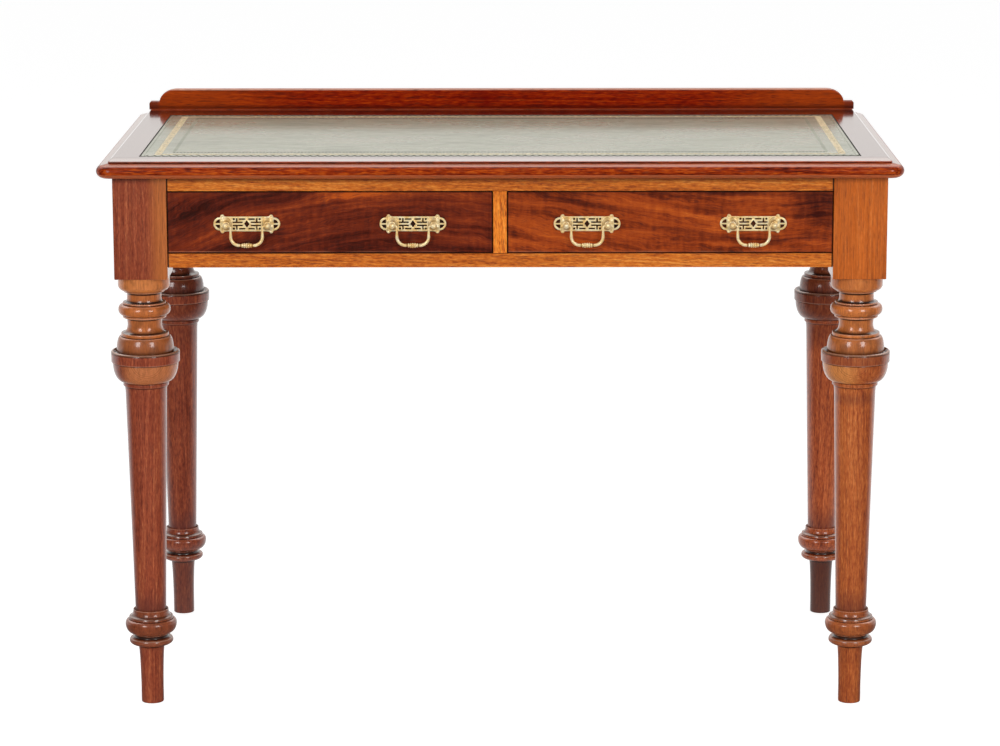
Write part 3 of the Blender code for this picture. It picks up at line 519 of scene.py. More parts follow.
# Usual look of polished wood
POLISH = {
    "rings": 420.0,
    "flecks": 150.0,
    "lean": 0.0,
    "spread": 0.105,
    "pored": 0.55,
    # Share and colour of paler wear with a painted highlight on arrises
    "wear_and_sheen": 0.30,
    "worn": srgb(222, 172, 146),
    "gloss": 0.32,
    "relief": 0.16,
    "coat": 0.35,
    "depth": 1.5,
    "shine": 0.30,
    "tint": WHITE,
}


def wax_shade_wear_and_sheen(color, wear_and_sheen, worn_color):
    """Dark wax and painted shade in hollows, and paler wear with a painted highlight on arrises."""
    hollow = hollow_value(color.tree)
    # Hollows darkened: dark wax and painted shade
    color = color.toward(srgb(30, 13, 7), hollow.ranged(0.26, 0.80, 0.0, 0.90))
    # Arrises lightened: wear and a painted highlight
    return color.toward(worn_color, hollow.ranged(-0.60, -1.30, 0.0, wear_and_sheen))


def wood(name, grain, tones, pith, local=None, **look):
    """Polished solid mahogany: growth rings round a pith, fibre streaks, pores and broad colour drift.

    The tones go from dark to light; the pith is a point across the grain, in the grain's own order;
    the look overrides values of POLISH, where the grain leans sideways by a share of its length.
    """
    look = {**POLISH, **look}
    material, tree = new_material(name)
    place = grain_space(tree, grain)
    _, _, along = place.parts()
    place = place.moved(joined(tree, 0.0, along * look["lean"], 0.0))
    wander = place.noise((9.0, 9.0, 1.6), 2.0, 0.5, 1).moved((-0.5, -0.5, -0.5))
    bent = place.moved(wander.stretched((0.022, 0.022, 0.0)))
    heart = bent.moved((-pith[0], -pith[1], 0.0)).stretched((1.0, 1.0, 0.02))
    ring = (heart.length() * look["rings"]).noise_1d(3.0, 0.65)
    streak = bent.noise((230.0, 230.0, 5.0), 3.0, 0.6)
    broad = bent.noise((22.0, 22.0, 2.0), 2.0)
    fibre = place.noise((820.0, 820.0, 70.0), 2.0, 0.65)
    fleck = place.noise((520.0, 520.0, look["flecks"]), 2.0, 0.6)
    pores = place.noise((900.0, 900.0, 55.0), 1.0).ranged(0.58, 0.68)
    ripple = place.noise((30.0, 30.0, 5.0), 1.0)
    tone = ring * 0.17 + streak * 0.17 + broad * 0.15 + fibre * 0.25 + fleck * 0.26
    color = tone.ramp(even_stops(tones, 0.5 - look["spread"], 0.5 + look["spread"]))
    if local:
        color = local(color)
    color = color.toward(srgb(54, 18, 7), pores * look["pored"])
    # Dark wax and painted shade in hollows, wear and a painted highlight on arrises
    color = wax_shade_wear_and_sheen(color, look["wear_and_sheen"], look["worn"])
    height = fibre * 0.35 + pores * -0.8 + ripple * 1.6
    set_shader(tree, Base_Color=color, Roughness=streak * 0.16 + pores * 0.14 + (look["gloss"] - 0.08),
               Normal=height.bump(look["relief"], WOOD_BUMP), Coat_Weight=look["coat"],
               Coat_Roughness=0.12, Coat_IOR=look["depth"], Specular_IOR_Level=look["shine"],
               Specular_Tint=look["tint"])
    return material


def leg_tints(node, tints):
    """Colouring of one leg, for wood().

    Each tint has a (bottom, top), a start towards the leg's inner side, a share, a colour and,
    where it differs from TINT_SOFT, a softness.
    """
    low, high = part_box(node)
    middle = (low.x + high.x) / 2
    inwards = -math.copysign(1.0, middle)

    def tinted(color):
        place = rest_place(color.tree)
        x, _, z = place.parts()
        inner = (x - middle) * inwards
        color = color.toward(srgb(50, 16, 6), z.ranged(*TOP_SHADE, 0.0, 0.50))
        for zone, start, share, tint, *soft in tints:
            reach = inner.ranged(start, start + SAP_SOFT, 0.0, share)
            color = color.toward(tint, z.between(*zone, *(soft or [TINT_SOFT])) * reach)
        color = bowl_figure(color, inner, z)
        color = wax_and_shade_lines(color, z)
        return drawn_grain(color, place, z)

    return tinted


def bowl_figure(color, inner, z):
    """Nested arcs of grain on the bowl of a leg."""
    reach = joined(color.tree, inner - BOWL_FIGURE[0], z - BOWL_FIGURE[1], 0.0).length()
    arcs = (reach * 700.0).noise_1d(2.0).ranged(0.46, 0.66, 0.0, 0.36)
    return color.toward(srgb(126, 60, 26), arcs * z.between(*BOWL, TINT_SOFT))


def wax_and_shade_lines(color, z):
    """Dark wax and painted shade on a leg's ledges, and the foot of its shaft greyed with dirt and painted
    shade.
    """
    for bottom, reach in WAX_SHADE_LINES:
        # Dark wax and painted shade above each ledge
        wax_shade = z.ranged(bottom + reach, bottom, 0.0, 0.80) * z.ranged(bottom - TINT_SOFT / 2, bottom)
        color = color.toward(srgb(44, 20, 8), wax_shade)
    # Foot of the shaft greyed: dirt and painted shade
    low, high = SHAFT_FOOT
    grey_shade = z.ranged(high, low, 0.0, 0.45) * z.ranged(low - TINT_SOFT, low)
    return color.toward(srgb(72, 40, 44), grey_shade)


def drawn_grain(color, place, z):
    """Uneven glaze on a leg's turned members, streaks along it and fine lines on its post."""
    turned = z.between(*FOOT_BEADS, TINT_SOFT) + z.between(*UPPER_TURNING, TINT_SOFT)
    glaze = place.noise((70.0, 70.0, 45.0), 3.0, 0.6).ranged(0.48, 0.68, 0.0, 0.36)
    color = color.toward(srgb(74, 36, 16), glaze * turned)
    streaks = place.noise((330.0, 330.0, 7.0), 3.0, 0.65).ranged(0.42, 0.60, 0.12, 0.0)
    color = color.toward(srgb(90, 34, 14), streaks)
    lines = place.noise((640.0, 640.0, 9.0), 3.0, 0.7).ranged(0.40, 0.58, 0.27, 0.0)
    return color.toward(srgb(110, 42, 10), lines * z.between(*POST, TINT_SOFT))


def shaded_joints(color):
    """Shade under the top, and dark open joints where the rails meet the posts."""
    x, _, z = rest_place(color.tree).parts()
    color = color.toward(srgb(84, 20, 0), z.ranged(*TOP_SHADE, 0.0, 0.66))
    low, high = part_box("leg_front_right")
    inner = (low.x + high.x) / 2 - POST_HALF
    gap = (inner - abs(x)).ranged(*JOINT_GAP)
    return color.toward(srgb(26, 10, 5), gap * 0.92)


def gallery_shades(color):
    """Colouring of the gallery: paler ends, painted shade on the tabs, a dark figure in the middle, painted
    shade above a pale foot line, and a painted highlight along its top edge.
    """
    x, _, z = rest_place(color.tree).parts()
    low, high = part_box("gallery")
    rise = z - low.z
    outwards = abs(x)
    tab = high.x - GALLERY_TAB_LENGTH
    figure = glow(x, z, (-0.026, low.z + 0.018), (0.036, 0.020), 0.60)
    color = color.toward(srgb(186, 84, 20), outwards.ranged(0.26, 0.46, 0.0, 0.40))
    # Painted shade and sheen on the end tabs
    color = color.toward(srgb(92, 36, 28), outwards.ranged(tab - 0.002, tab + 0.004, 0.0, 0.60))
    color = color.toward(srgb(104, 2, 0), figure)
    # Painted shade towards the foot
    color = color.toward(srgb(40, 1, 0), rise.ranged(0.0085, 0.0028, 0.0, 0.62))
    color = color.toward(srgb(204, 84, 44), rise.ranged(0.0014, 0.0006, 0.0, 0.55))
    # Painted highlight along the rounded top edge
    return color.toward(srgb(236, 190, 166), (high.z - z).ranged(0.0020, 0.0004, 0.0, 0.50))


def glow(x, z, centre, radii, amount):
    """A soft oval patch on an upright face, for broad light and dark figure."""
    across = (x - centre[0]) / radii[0]
    up = (z - centre[1]) / radii[1]
    return joined(x.tree, across, up, 0.0).length().ranged(1.0, 0.0, 0.0, amount)


def behind_plate(x, z, box):
    """1 on the wood inside a plate's outline."""
    low, high = box
    half = (high.x - low.x) / 2
    across = abs(x - (low.x + high.x) / 2).ranged(half - 0.001, half - 0.003)
    up = abs(z - (low.z + high.z) / 2).ranged(FIELD_HALF_HEIGHT - 0.0005, FIELD_HALF_HEIGHT - 0.002)
    return across * up


def flame_space(tree, across, up, figure):
    """Places on a drawer front, places along its streaks, and how far the streaks sway.

    The figure gives the streaks' slope, their bend, where along the front they bend, and a seed.
    """
    slope, bend, bend_at, seed = figure
    flat = joined(tree, across, up, seed)
    sway = flat.noise((8.0, 26.0, 1.0), 3.0, 0.55)
    arch = across - bend_at
    level = up - across * slope + arch * arch * bend + (sway - 0.5) * 0.030
    return flat, joined(tree, across, level, seed), sway


def veneer_edges(color, x, z, box, sway):
    """A drawer front's rubbed foot, and painted shade in the dark line along its edges."""
    low, high = box
    from_foot = z - low.z
    sides = (x - low.x).least(high.x - x)
    edge = sides.least(from_foot.least(high.z - z))
    rubbed = from_foot.between(0.0012, 0.0024, 0.0004) * sway.ranged(0.4, 0.6)
    color = color.toward(srgb(196, 128, 92), rubbed * 0.35)
    # Painted shade along the edges, where the front meets the frame
    return color.toward(srgb(20, 7, 4), edge.ranged(0.0016, 0.0006, 0.0, 0.8))


def flame_veneer(name, tones, box, figure, patches, plates):
    """Figured drawer front: streaks that lean and bend, broad patches, and old polish with painted shade
    behind the plates.
    """
    low, high = box
    material, tree = new_material(name)
    x, _, z = rest_place(tree).parts()
    across = x - (low.x + high.x) / 2
    up = z - (low.z + high.z) / 2
    flat, streaked, sway = flame_space(tree, across, up, figure)
    streak = streaked.noise((8.0, 190.0, 1.0), 4.0, 0.6)
    band = streaked.noise((5.0, 46.0, 1.0), 2.0, 0.5)
    cross = flat.noise((150.0, 40.0, 1.0), 3.0, 0.55)
    fibre = streaked.noise((110.0, 900.0, 1.0), 2.0, 0.65)
    pores = streaked.noise((70.0, 1100.0, 1.0), 1.0).ranged(0.58, 0.68)
    ripple = flat.noise((26.0, 30.0, 1.0), 1.0)
    tone = streak * 0.26 + band * 0.42 + cross * 0.14 + fibre * 0.18
    for centre, radii, amount in patches:
        tone = tone + glow(x, z, centre, radii, amount)
    color = tone.ramp(even_stops(tones, *VENEER_SPAN))
    color = color.toward(srgb(34, 8, 3), pores * 0.40)
    color = veneer_edges(color, x, z, box, sway)
    # Wood behind the plates darkened: old polish and painted shade in the piercings
    for plate in plates:
        color = color.toward(srgb(30, 16, 6), behind_plate(x, z, plate) * 0.85)
    height = fibre * 0.3 + pores * -0.7 + ripple * 1.6
    set_shader(tree, Base_Color=color, Roughness=streak * 0.14 + pores * 0.10 + 0.24,
               Normal=height.bump(0.14, WOOD_BUMP), Coat_Weight=0.5, Coat_Roughness=0.10, Coat_IOR=1.5,
               Specular_IOR_Level=0.25)
    return material


def lining_wood(name, grain):
    """Plain planed secondary wood, dry and unpolished."""
    material, tree = new_material(name)
    place = grain_space(tree, grain)
    streak = place.noise((130.0, 130.0, 3.0), 4.0, 0.6)
    broad = place.noise((12.0, 12.0, 1.5), 2.0)
    fibre = place.noise((700.0, 700.0, 16.0), 2.0, 0.6)
    tone = streak * 0.45 + broad * 0.35 + fibre * 0.20
    tones = palette((120, 84, 50), (168, 126, 82), (196, 156, 108))
    set_shader(tree, Base_Color=tone.ramp(even_stops(tones, *MIDDLE_SPAN)),
               Roughness=streak.ranged(0.3, 0.7, 0.55, 0.72), Normal=fibre.bump(0.25, 0.0004))
    return material


def leather_tooling(to_left, to_side, to_end):
    """How deep the hide is tooled: a scalloped line at the front and back, cut sides and blind lines."""
    wave = abs((to_left * (math.pi / SCALLOP_PITCH)).sine())
    scallop = to_end.on_line(wave * -SCALLOP_DEPTH + (SCALLOP_START + SCALLOP_DEPTH), SCALLOP_BROAD)
    cut = to_side.ranged(CUT_LINE, CUT_LINE / 2)
    side_fillet = to_side.on_line(FILLET_LINE, FILLET_WIDTH) * 0.45
    dots = (to_left * (2 * math.pi / BLIND_PITCH)).sine().ranged(-0.9, 0.5, 0.30, 1.0)
    corner = (BLIND_LINE - 0.002, BLIND_LINE)
    end_line = to_end.on_line(BLIND_LINE, BLIND_BROAD) * dots * to_side.ranged(*corner)
    side_line = to_side.on_line(BLIND_LINE, BLIND_FINE) * 0.28 * to_end.ranged(*corner)
    return cut.most(scallop).most(side_fillet).most(end_line).most(side_line)


def gilded(color, place, y, to_side, to_end, front):
    """The hide's pale front band and the gold wash under the gilt one, both speckled."""
    speckle = place.noise((420.0, 420.0, 1.0), 2.0, 0.7)
    pale = to_end.between(*PALE_BAND, 0.003) * speckle.ranged(0.4, 0.6, 0.0, 0.45)
    pale = pale * to_side.ranged(GILT_END, GILT_END + 0.004) * (y - front).ranged(0.06, 0.05)
    color = color.toward(srgb(236, 232, 206), pale)
    gold = to_side.between(GILT_START, GILT_END, 0.0006)
    gold = gold * to_end.ranged(GILT_START - 0.0006, GILT_START + 0.0006)
    return color.toward(srgb(246, 228, 186), gold * speckle.ranged(0.38, 0.58, 0.40, 0.92))


def leather_material(low, high):
    """Sage hide with fine grain, tooled lines, a gold wash under the gilt band, and a back browned by dirt
    and a painted reflection of the gallery.
    """
    material, tree = new_material("leather")
    place = rest_place(tree)
    x, y, _ = place.parts()
    to_left = x - low.x
    to_side = to_left.least(high.x - x)
    to_end = (y - low.y).least(high.y - y)
    tooled = leather_tooling(to_left, to_side, to_end)
    cells = add_node(tree, "TexVoronoi", {"Vector": place, "Scale": 900.0}, feature="DISTANCE_TO_EDGE")
    creases = cells.ranged(0.0, 0.18, 1.0, 0.0)
    cloud = place.noise((7.0, 16.0, 1.0), 4.0, 0.6)
    mottle = place.noise((55.0, 90.0, 1.0), 3.0, 0.6)
    tone = cloud * 0.65 + mottle * 0.35
    sage = palette((107, 121, 92), (134, 147, 117), (151, 161, 131))
    color = tone.ramp(even_stops(sage, *MIDDLE_SPAN))
    color = color.toward(srgb(80, 80, 66), creases * 0.18)
    # Back browned: dirt and a painted reflection of the gallery
    color = color.toward(srgb(104, 80, 52), (high.y - y).ranged(0.075, 0.010, 0.0, 0.55))
    color = gilded(color, place, y, to_side, to_end, low.y)
    color = color.toward(srgb(26, 24, 20), tooled)
    height = creases * -0.35 + tooled * -1.6 + mottle * 0.9
    set_shader(tree, Base_Color=color, Roughness=cloud.ranged(0.3, 0.7, 0.34, 0.24) + tooled * 0.6,
               Normal=height.bump(0.35, 0.0004), Coat_Weight=tooled.ranged(0.0, 0.8, 0.62, 0.0),
               Coat_Roughness=0.12, Specular_IOR_Level=0.25)
    return material


def gilt_material():
    """Gold leaf pressed into the hide, rubbed thin in places."""
    material, tree = new_material("gilt_tooling")
    rubbed = rest_place(tree).noise((240.0, 240.0, 1.0), 3.0, 0.65)
    stops = [(0.38, srgb(128, 118, 88)), (0.48, srgb(198, 178, 128)), (0.60, srgb(228, 210, 164))]
    set_shader(tree, Base_Color=rubbed.ramp(stops), Metallic=rubbed.ranged(0.36, 0.5, 0.05, 0.35),
               Roughness=rubbed.ranged(0.3, 0.7, 0.70, 0.50))
    return material


def brass_material():
    """Cast and polished brass, darker in its recesses with dark patina and painted shade, with fine casting
    unevenness.
    """
    material, tree = new_material("brass")
    place = rest_place(tree)
    cloud = place.noise((130.0, 130.0, 130.0), 3.0, 0.6)
    grit = place.noise((1500.0, 1500.0, 1500.0), 2.0, 0.6)
    tone = cloud * 0.75 + grit * 0.25
    golds = palette((238, 192, 116), (255, 228, 168), (255, 242, 206))
    color = tone.ramp(even_stops(golds, *MIDDLE_SPAN))
    # Recesses darkened: dark patina and painted shade
    color = color.toward(srgb(150, 100, 20), hollow_value(tree).ranged(0.08, 0.5, 0.0, 0.8))
    set_shader(tree, Base_Color=color, Metallic=0.38, Roughness=tone.ranged(0.3, 0.7, 0.42, 0.28),
               Normal=tone.bump(0.22, 0.0003), Specular_IOR_Level=0.28)
    return material


def arc(centre, radii, start_deg, end_deg, steps):
    """Points of an ellipse arc in a plane, both ends included."""
    points = []
    for i in range(steps + 1):
        angle = math.radians(start_deg + (end_deg - start_deg) * i / steps)
        points.append((centre[0] + radii[0] * math.cos(angle), centre[1] + radii[1] * math.sin(angle)))
    return points


def circle(radius):
    """Points round a brass turning."""
    turns = [2 * math.pi * k / BRASS_SIDES for k in range(BRASS_SIDES)]
    return [(radius * math.cos(turn), radius * math.sin(turn)) for turn in turns]


def softened(points, radius, steps=3, least_deg=24.0):
    """Round the sharp corners of an open line of points, as far as its neighbours leave room."""
    result = [points[0]]
    for before, corner, after in zip(points, points[1:], points[2:]):
        back = Vector(before) - Vector(corner)
        ahead = Vector(after) - Vector(corner)
        turn = math.pi - back.angle(ahead)
        if turn < math.radians(least_deg):
            result.append(corner)
            continue
        cut = min(radius * math.tan(turn / 2), 0.45 * back.length, 0.45 * ahead.length)
        start = Vector(corner) + back.normalized() * cut
        end = Vector(corner) + ahead.normalized() * cut
        for i in range(steps + 1):
            t = i / steps
            point = start * (1 - t) ** 2 + Vector(corner) * 2 * t * (1 - t) + end * t ** 2
            result.append(tuple(point))
    result.append(points[-1])
    return result


def without_repeats(points):
    kept = [points[0]]
    for point in points[1:]:
        if (Vector(point) - Vector(kept[-1])).length > TOUCHING:
            kept.append(point)
    return kept


def hollow_values(points, reach):
    """How far each point of a profile lies in a hollow: positive there, negative on arrises.

    Outside is on the right of a profile's direction.
    """
    line = [Vector(point) for point in points]
    lengths = [0.0]
    for a, b in zip(line, line[1:]):
        lengths.append(lengths[-1] + (b - a).length)
    values = []
    for i, point in enumerate(line):
        tangent = line[min(i + 1, len(line) - 1)] - line[max(i - 1, 0)]
        outward = Vector((tangent.y, -tangent.x)).normalized()
        total = 0.0
        for side in (-1, 1):
            target = lengths[i] + side * reach
            j = i
            while 0 < j < len(line) - 1 and (target - lengths[j]) * side > 0:
                j += side
            total += (line[j] - point).dot(outward)
        values.append(total / reach)
    return values


def add_strips(bm, low, high):
    """Faces between two loops with equal numbers of points."""
    for i in range(len(low)):
        j = (i + 1) % len(low)
        bm.faces.new((low[i], low[j], high[j], high[i]))


def add_loft(bm, rings, values=None, closed_ends=True):
    """Skin point loops of equal length, with a hollow value for each loop, and cap both ends."""
    layer = bm.verts.layers.float.get(HOLLOW) or bm.verts.layers.float.new(HOLLOW)
    loops = []
    for number, ring in enumerate(rings):
        loop = [bm.verts.new(point) for point in ring]
        for vert in loop:
            vert[layer] = values[number] if values else 0.0
        loops.append(loop)
    for low, high in zip(loops, loops[1:]):
        add_strips(bm, low, high)
    if closed_ends:
        bm.faces.new(list(reversed(loops[0])))
        bm.faces.new(loops[-1])


def lofted(rings, values=None):
    """A new mesh that is one loft."""
    bm = bmesh.new()
    add_loft(bm, rings, values)
    return bm


def add_object(name, data):
    item = bpy.data.objects.new(name, data)
    bpy.context.scene.collection.objects.link(item)
    return item


def finished_mesh(name, bm):
    """The mesh that was drawn, with its faces turned outwards."""
    bmesh.ops.recalc_face_normals(bm, faces=bm.faces)
    mesh = bpy.data.meshes.new(name)
    bm.to_mesh(mesh)
    bm.free()
    return mesh


def evaluated_mesh(item):
    """A new mesh of an object with its modifiers applied."""
    return bpy.data.meshes.new_from_object(item.evaluated_get(bpy.context.evaluated_depsgraph_get()))


def add_piece(name, bm, material, body, slot, *nodes):
    """Make a piece of the mesh, let it ride on a body, and let it stand for the nodes given."""
    mesh = finished_mesh(name, bm)
    mesh.shade_smooth()
    mesh.set_sharp_from_angle(angle=math.radians(SMOOTH_DEG))
    mesh.materials.append(material)
    item = add_object(name, mesh)
    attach(item, body)
    if nodes:
        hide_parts(*nodes)
    return item


def add_modifier(item, name, kind, **settings):
    modifier = item.modifiers.new(name, kind)
    for key, value in settings.items():
        setattr(modifier, key, value)


def dress(node, material, arris=ARRIS):
    """Give a carried-over node its finish and take the sharpness off its arrises."""
    item = frame["nodes"][node]
    for slot in item.material_slots:
        slot.material = material
    if not item.material_slots:
        item.data.materials.append(material)
    add_modifier(item, "weld", "WELD", merge_threshold=WELD_REACH)
    add_modifier(item, "flat_faces", "DECIMATE", decimate_type="DISSOLVE", angle_limit=FLAT_WITHIN)
    add_modifier(item, "arris", "BEVEL", width=arris, segments=2, limit_method="ANGLE",
                 angle_limit=BEVEL_FROM, harden_normals=False)
    add_modifier(item, "even_normals", "WEIGHTED_NORMAL", keep_sharp=False)


def turned_profile(members, radius, height):
    """Stack turned members upwards and return (radius, height) points."""
    points = [(radius, height)]
    for shape, rise, end in members:
        grow = end - radius
        if shape == "line":
            steps = max(1, math.ceil(rise / LEG_RUN))
        else:
            steps = max(4, math.ceil((rise + abs(grow)) / LEG_CHORD))
        for i in range(1, steps + 1):
            share = i / steps
            early, late = math.sin(share * math.pi / 2), 1 - math.cos(share * math.pi / 2)
            if shape == "line":
                across, along = share, share
            elif (shape == "round") == (grow > 0):
                across, along = early, late
            else:
                across, along = late, early
            points.append((radius + grow * across, height + rise * along))
        radius = end
        height += rise
    return points


def leg_profile():
    """Fine profile of the turned part; the shaft takes up the height that the other members leave."""
    fixed = sum(rise for _, rise, _ in LEG_BELOW_SHAFT + LEG_ABOVE_SHAFT)
    shaft = [("line", POST_BOTTOM - fixed, SHAFT_TOP_RADIUS)]
    points = turned_profile(LEG_BELOW_SHAFT + shaft + LEG_ABOVE_SHAFT, SOLE_RADIUS, 0.0)
    return softened(without_repeats(points), LEG_ROUNDING)


def leg_turns():
    """Angles round a leg, closer together at the corners of its square post."""
    turns = {2 * math.pi * i / LEG_SIDES for i in range(LEG_SIDES)}
    inner = POST_HALF - POST_ARRIS
    half_corner = math.pi / 4 - math.atan2(inner, POST_HALF)
    for corner in range(4):
        middle = math.pi / 4 + corner * math.pi / 2
        turns |= {middle + half_corner * share for share in (-1, -0.5, 0.5, 1)}
    return sorted(turns)


def post_reach(turn, half):
    """Distance from the middle of a square with rounded corners to its edge, at an angle."""
    c, s = abs(math.cos(turn)), abs(math.sin(turn))
    inner = half - POST_ARRIS
    flat = half / max(c, s)
    if flat * min(c, s) <= inner:
        return flat
    ahead = (c + s) * inner
    return ahead + math.sqrt(ahead ** 2 - 2 * inner ** 2 + POST_ARRIS ** 2)


def make_leg(name, material):
    """A turned leg under a square post with softened arrises."""
    low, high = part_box(name)
    middle = (low + high) / 2
    turns = leg_turns()
    profile = leg_profile()
    outlines = [([radius] * len(turns), z) for radius, z in profile]
    values = hollow_values(profile, HOLLOW_REACH)
    squares = [(inset, POST_BOTTOM + POST_ARRIS * rise, value) for inset, rise, value in POST_FOOT]
    for inset, z, value in squares + [(0.0, high.z, 0.0)]:
        half = POST_HALF - POST_ARRIS * inset
        outlines.append(([post_reach(turn, half) for turn in turns], z))
        values.append(value)
    rings = []
    for reaches, z in outlines:
        steps = zip(reaches, turns)
        rings.append([(r * math.cos(t) + middle.x, r * math.sin(t) + middle.y, z) for r, t in steps])
    add_piece(name + "_turned", lofted(rings, values), material, "desk", "mahogany", name)


def rounded_rectangle(x_range, y_range, radius, height):
    """A level loop with rounded corners, always with the same number of points."""
    loop = []
    for number, (right, back) in enumerate(((1, 1), (0, 1), (0, 0), (1, 0))):
        centre = (x_range[right] + (1 - 2 * right) * radius, y_range[back] + (1 - 2 * back) * radius)
        turn = 90 * number
        points = arc(centre, (radius, radius), turn, turn + 90, TOP_CORNER_STEPS)
        loop += [(a, b, height) for a, b in points]
    return loop


def top_section(thickness, quirk_inset, roll_width):
    """(inset, drop, hollow) along one edge of the top, from its underside over nose and quirk to the flat."""
    nose_z = thickness - NOSE_LOWER
    lower = arc((NOSE_WIDTH, nose_z), (NOSE_WIDTH, NOSE_LOWER), 90, 180, NOSE_STEPS)
    upper = arc((NOSE_SHOULDER, nose_z), (NOSE_SHOULDER, NOSE_UPPER), 180, 270, NOSE_STEPS)
    # Worn nose, ledge and roll lit with a painted highlight; wax and painted shade in the quirk
    section = [(a, b, NOSE_WORN_SHEEN if 0.30 < (b - nose_z) / NOSE_LOWER < 0.96 else 0.0) for a, b in lower]
    crest = nose_z - 0.90 * NOSE_UPPER
    section += [(a, b, NOSE_TOP_WORN_SHEEN if b > crest else NOSE_WORN_SHEEN) for a, b in upper[1:]]
    section.append((quirk_inset - 0.0006, QUIRK_FOOT + 0.0001, QUIRK_RIM_WORN_SHEEN))
    section.append((quirk_inset, QUIRK_FOOT, QUIRK_WAX_SHADE))
    section.append((quirk_inset, ROLL_DROP + 0.0003, QUIRK_WAX_SHADE))
    for a, b in arc((roll_width, ROLL_DROP), (roll_width, ROLL_DROP), 180, 270, NOSE_STEPS):
        fall = ROLL_DROP * (1 - a / roll_width)
        value = ROLL_WORN_SHEEN if b > 0.3 * ROLL_DROP else 0.0
        section.append((quirk_inset + a, b + (fall - b) * ROLL_FALL, value))
    return section + [(quirk_inset + roll_width + 0.0004, 0.0, 0.0)]


def polish_top(bm, low, high):
    """Mark the faces with the second finish: the flat of the top, and the ledge at its sides and back."""
    for face in bm.faces:
        drops = [high.z - vert.co.z for vert in face.verts]
        on_ledge = max(drops) < POLISHED_BELOW and min(drops) > QUIRK_FOOT - 1e-5
        on_ledge = on_ledge and face.calc_center_median().y > low.y + 2 * QUIRK_INSET
        face.material_index = 1 if on_ledge or max(drops) < 0.8 * ROLL_DROP else 0


def make_top(edge_wood, flat_wood):
    """The top with its nose, quirk and rolled arris, open in the middle for the leather."""
    low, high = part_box("top_board")
    inner_low, inner_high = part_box("leather_panel")
    thickness = high.z - low.z
    front = top_section(thickness, QUIRK_INSET, FRONT_ROLL_WIDTH)
    side = top_section(thickness, QUIRK_INSET, SIDE_ROLL_WIDTH)
    back = top_section(thickness, BACK_QUIRK_INSET, BACK_ROLL_WIDTH)
    rings = []
    values = []
    for (front_inset, drop, value), (inset, _, _), (back_inset, _, _) in zip(front, side, back):
        x_range = (low.x + inset, high.x - inset)
        y_range = (low.y + front_inset, high.y - back_inset)
        radius = max(TOP_CORNER_RADIUS - inset, TOP_CORNER_LEAST)
        rings.append(rounded_rectangle(x_range, y_range, radius, high.z - drop))
        values.append(value)
    x_range = (inner_low.x - SEAT, inner_high.x + SEAT)
    y_range = (inner_low.y - SEAT, inner_high.y + SEAT)
    # The seat round the leather darkened with wax and painted shade
    for z, value in ((high.z, 0.0), (inner_low.z - SEAT, SEAT_WAX_SHADE)):
        rings.append(rounded_rectangle(x_range, y_range, SEAT, z))
        values.append(value)
    bm = lofted(rings, values)
    polish_top(bm, low, high)
    board = add_piece("top_board_moulded", bm, edge_wood, "desk", "mahogany", "top_board")
    board.data.materials.append(flat_wood)


def make_gallery(material):
    """The stepped gallery board with rounded arrises above its foot."""
    low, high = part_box("gallery")
    inner = high.x - GALLERY_TAB_LENGTH
    tab_top = low.z + GALLERY_TAB_HEIGHT
    half = [(high.x, low.z)]
    half += arc((high.x - GALLERY_TAB_ROUND, tab_top - GALLERY_TAB_ROUND), (GALLERY_TAB_ROUND,) * 2, 0, 90, 6)
    half.append((inner, tab_top))
    shoulder = (GALLERY_SHOULDER_LENGTH, high.z - low.z - GALLERY_TAB_HEIGHT)
    half += arc((inner - GALLERY_SHOULDER_LENGTH, tab_top), shoulder, 0, 90, GALLERY_ARC_STEPS)[1:]
    outline = half + [(-x, z) for x, z in reversed(half)]
    bm = lofted([[(x, y, z) for x, z in outline] for y in (low.y, high.y)])
    weight = bm.edges.layers.float.new("bevel_weight_edge")
    for edge in bm.edges:
        ends = [vert.co for vert in edge.verts]
        on_face = abs(ends[0].y - ends[1].y) < TOUCHING
        at_foot = max(point.z for point in ends) < low.z + TOUCHING
        edge[weight] = 1.0 if on_face and not at_foot else 0.0
    board = add_piece("gallery_board", bm, material, "desk", "mahogany", "gallery")
    add_modifier(board, "arris", "BEVEL", width=GALLERY_ROUNDING, segments=4, limit_method="WEIGHT")


def make_hide(low, high, material):
    """The leather panel with a slightly rounded edge."""
    rings = []
    for inset, z in softened([(0.0, low.z), (0.0, high.z), (0.004, high.z)], HIDE_ROUNDING):
        x_range = (low.x + inset, high.x - inset)
        rings.append(rounded_rectangle(x_range, (low.y + inset, high.y - inset), SEAT, z))
    add_piece("leather_hide", lofted(rings), material, "desk", "leather", "leather_panel")


def inset_corners(low, high, inset):
    """Corners of the leather, moved in from its edge."""
    left, right = low.x + inset, high.x - inset
    front, back = low.y + inset, high.y - inset
    return [(left, front), (right, front), (right, back), (left, back)]


def make_gilt_band(low, high, material):
    """The gilt band tooled on the leather: a line at each side and a roll of motifs between them."""
    bm = bmesh.new()
    z = high.z + GILT_RISE
    for start, end in ((GILT_START, GILT_START + GILT_LINE), (GILT_END - GILT_LINE, GILT_END)):
        outer = [bm.verts.new((*point, z)) for point in inset_corners(low, high, start)]
        inner = [bm.verts.new((*point, z)) for point in inset_corners(low, high, end)]
        add_strips(bm, outer, inner)
    half_band = (GILT_END - GILT_START) / 2 - 1.6 * GILT_LINE
    corners = [Vector(point) for point in inset_corners(low, high, (GILT_START + GILT_END) / 2)]
    for start, end in zip(corners, corners[1:] + corners[:1]):
        count = round((end - start).length / GILT_PITCH)
        along = (end - start) / count
        across = Vector((-along.y, along.x)).normalized() * half_band
        for number in range(count):
            add_motif(bm, start + along * number, along, across, z)
    sheet = add_piece("gilt_tooled_band", bm, material, "desk", "leather")
    add_modifier(sheet, "leaf", "SOLIDIFY", thickness=GILT_RISE, offset=-1.0)


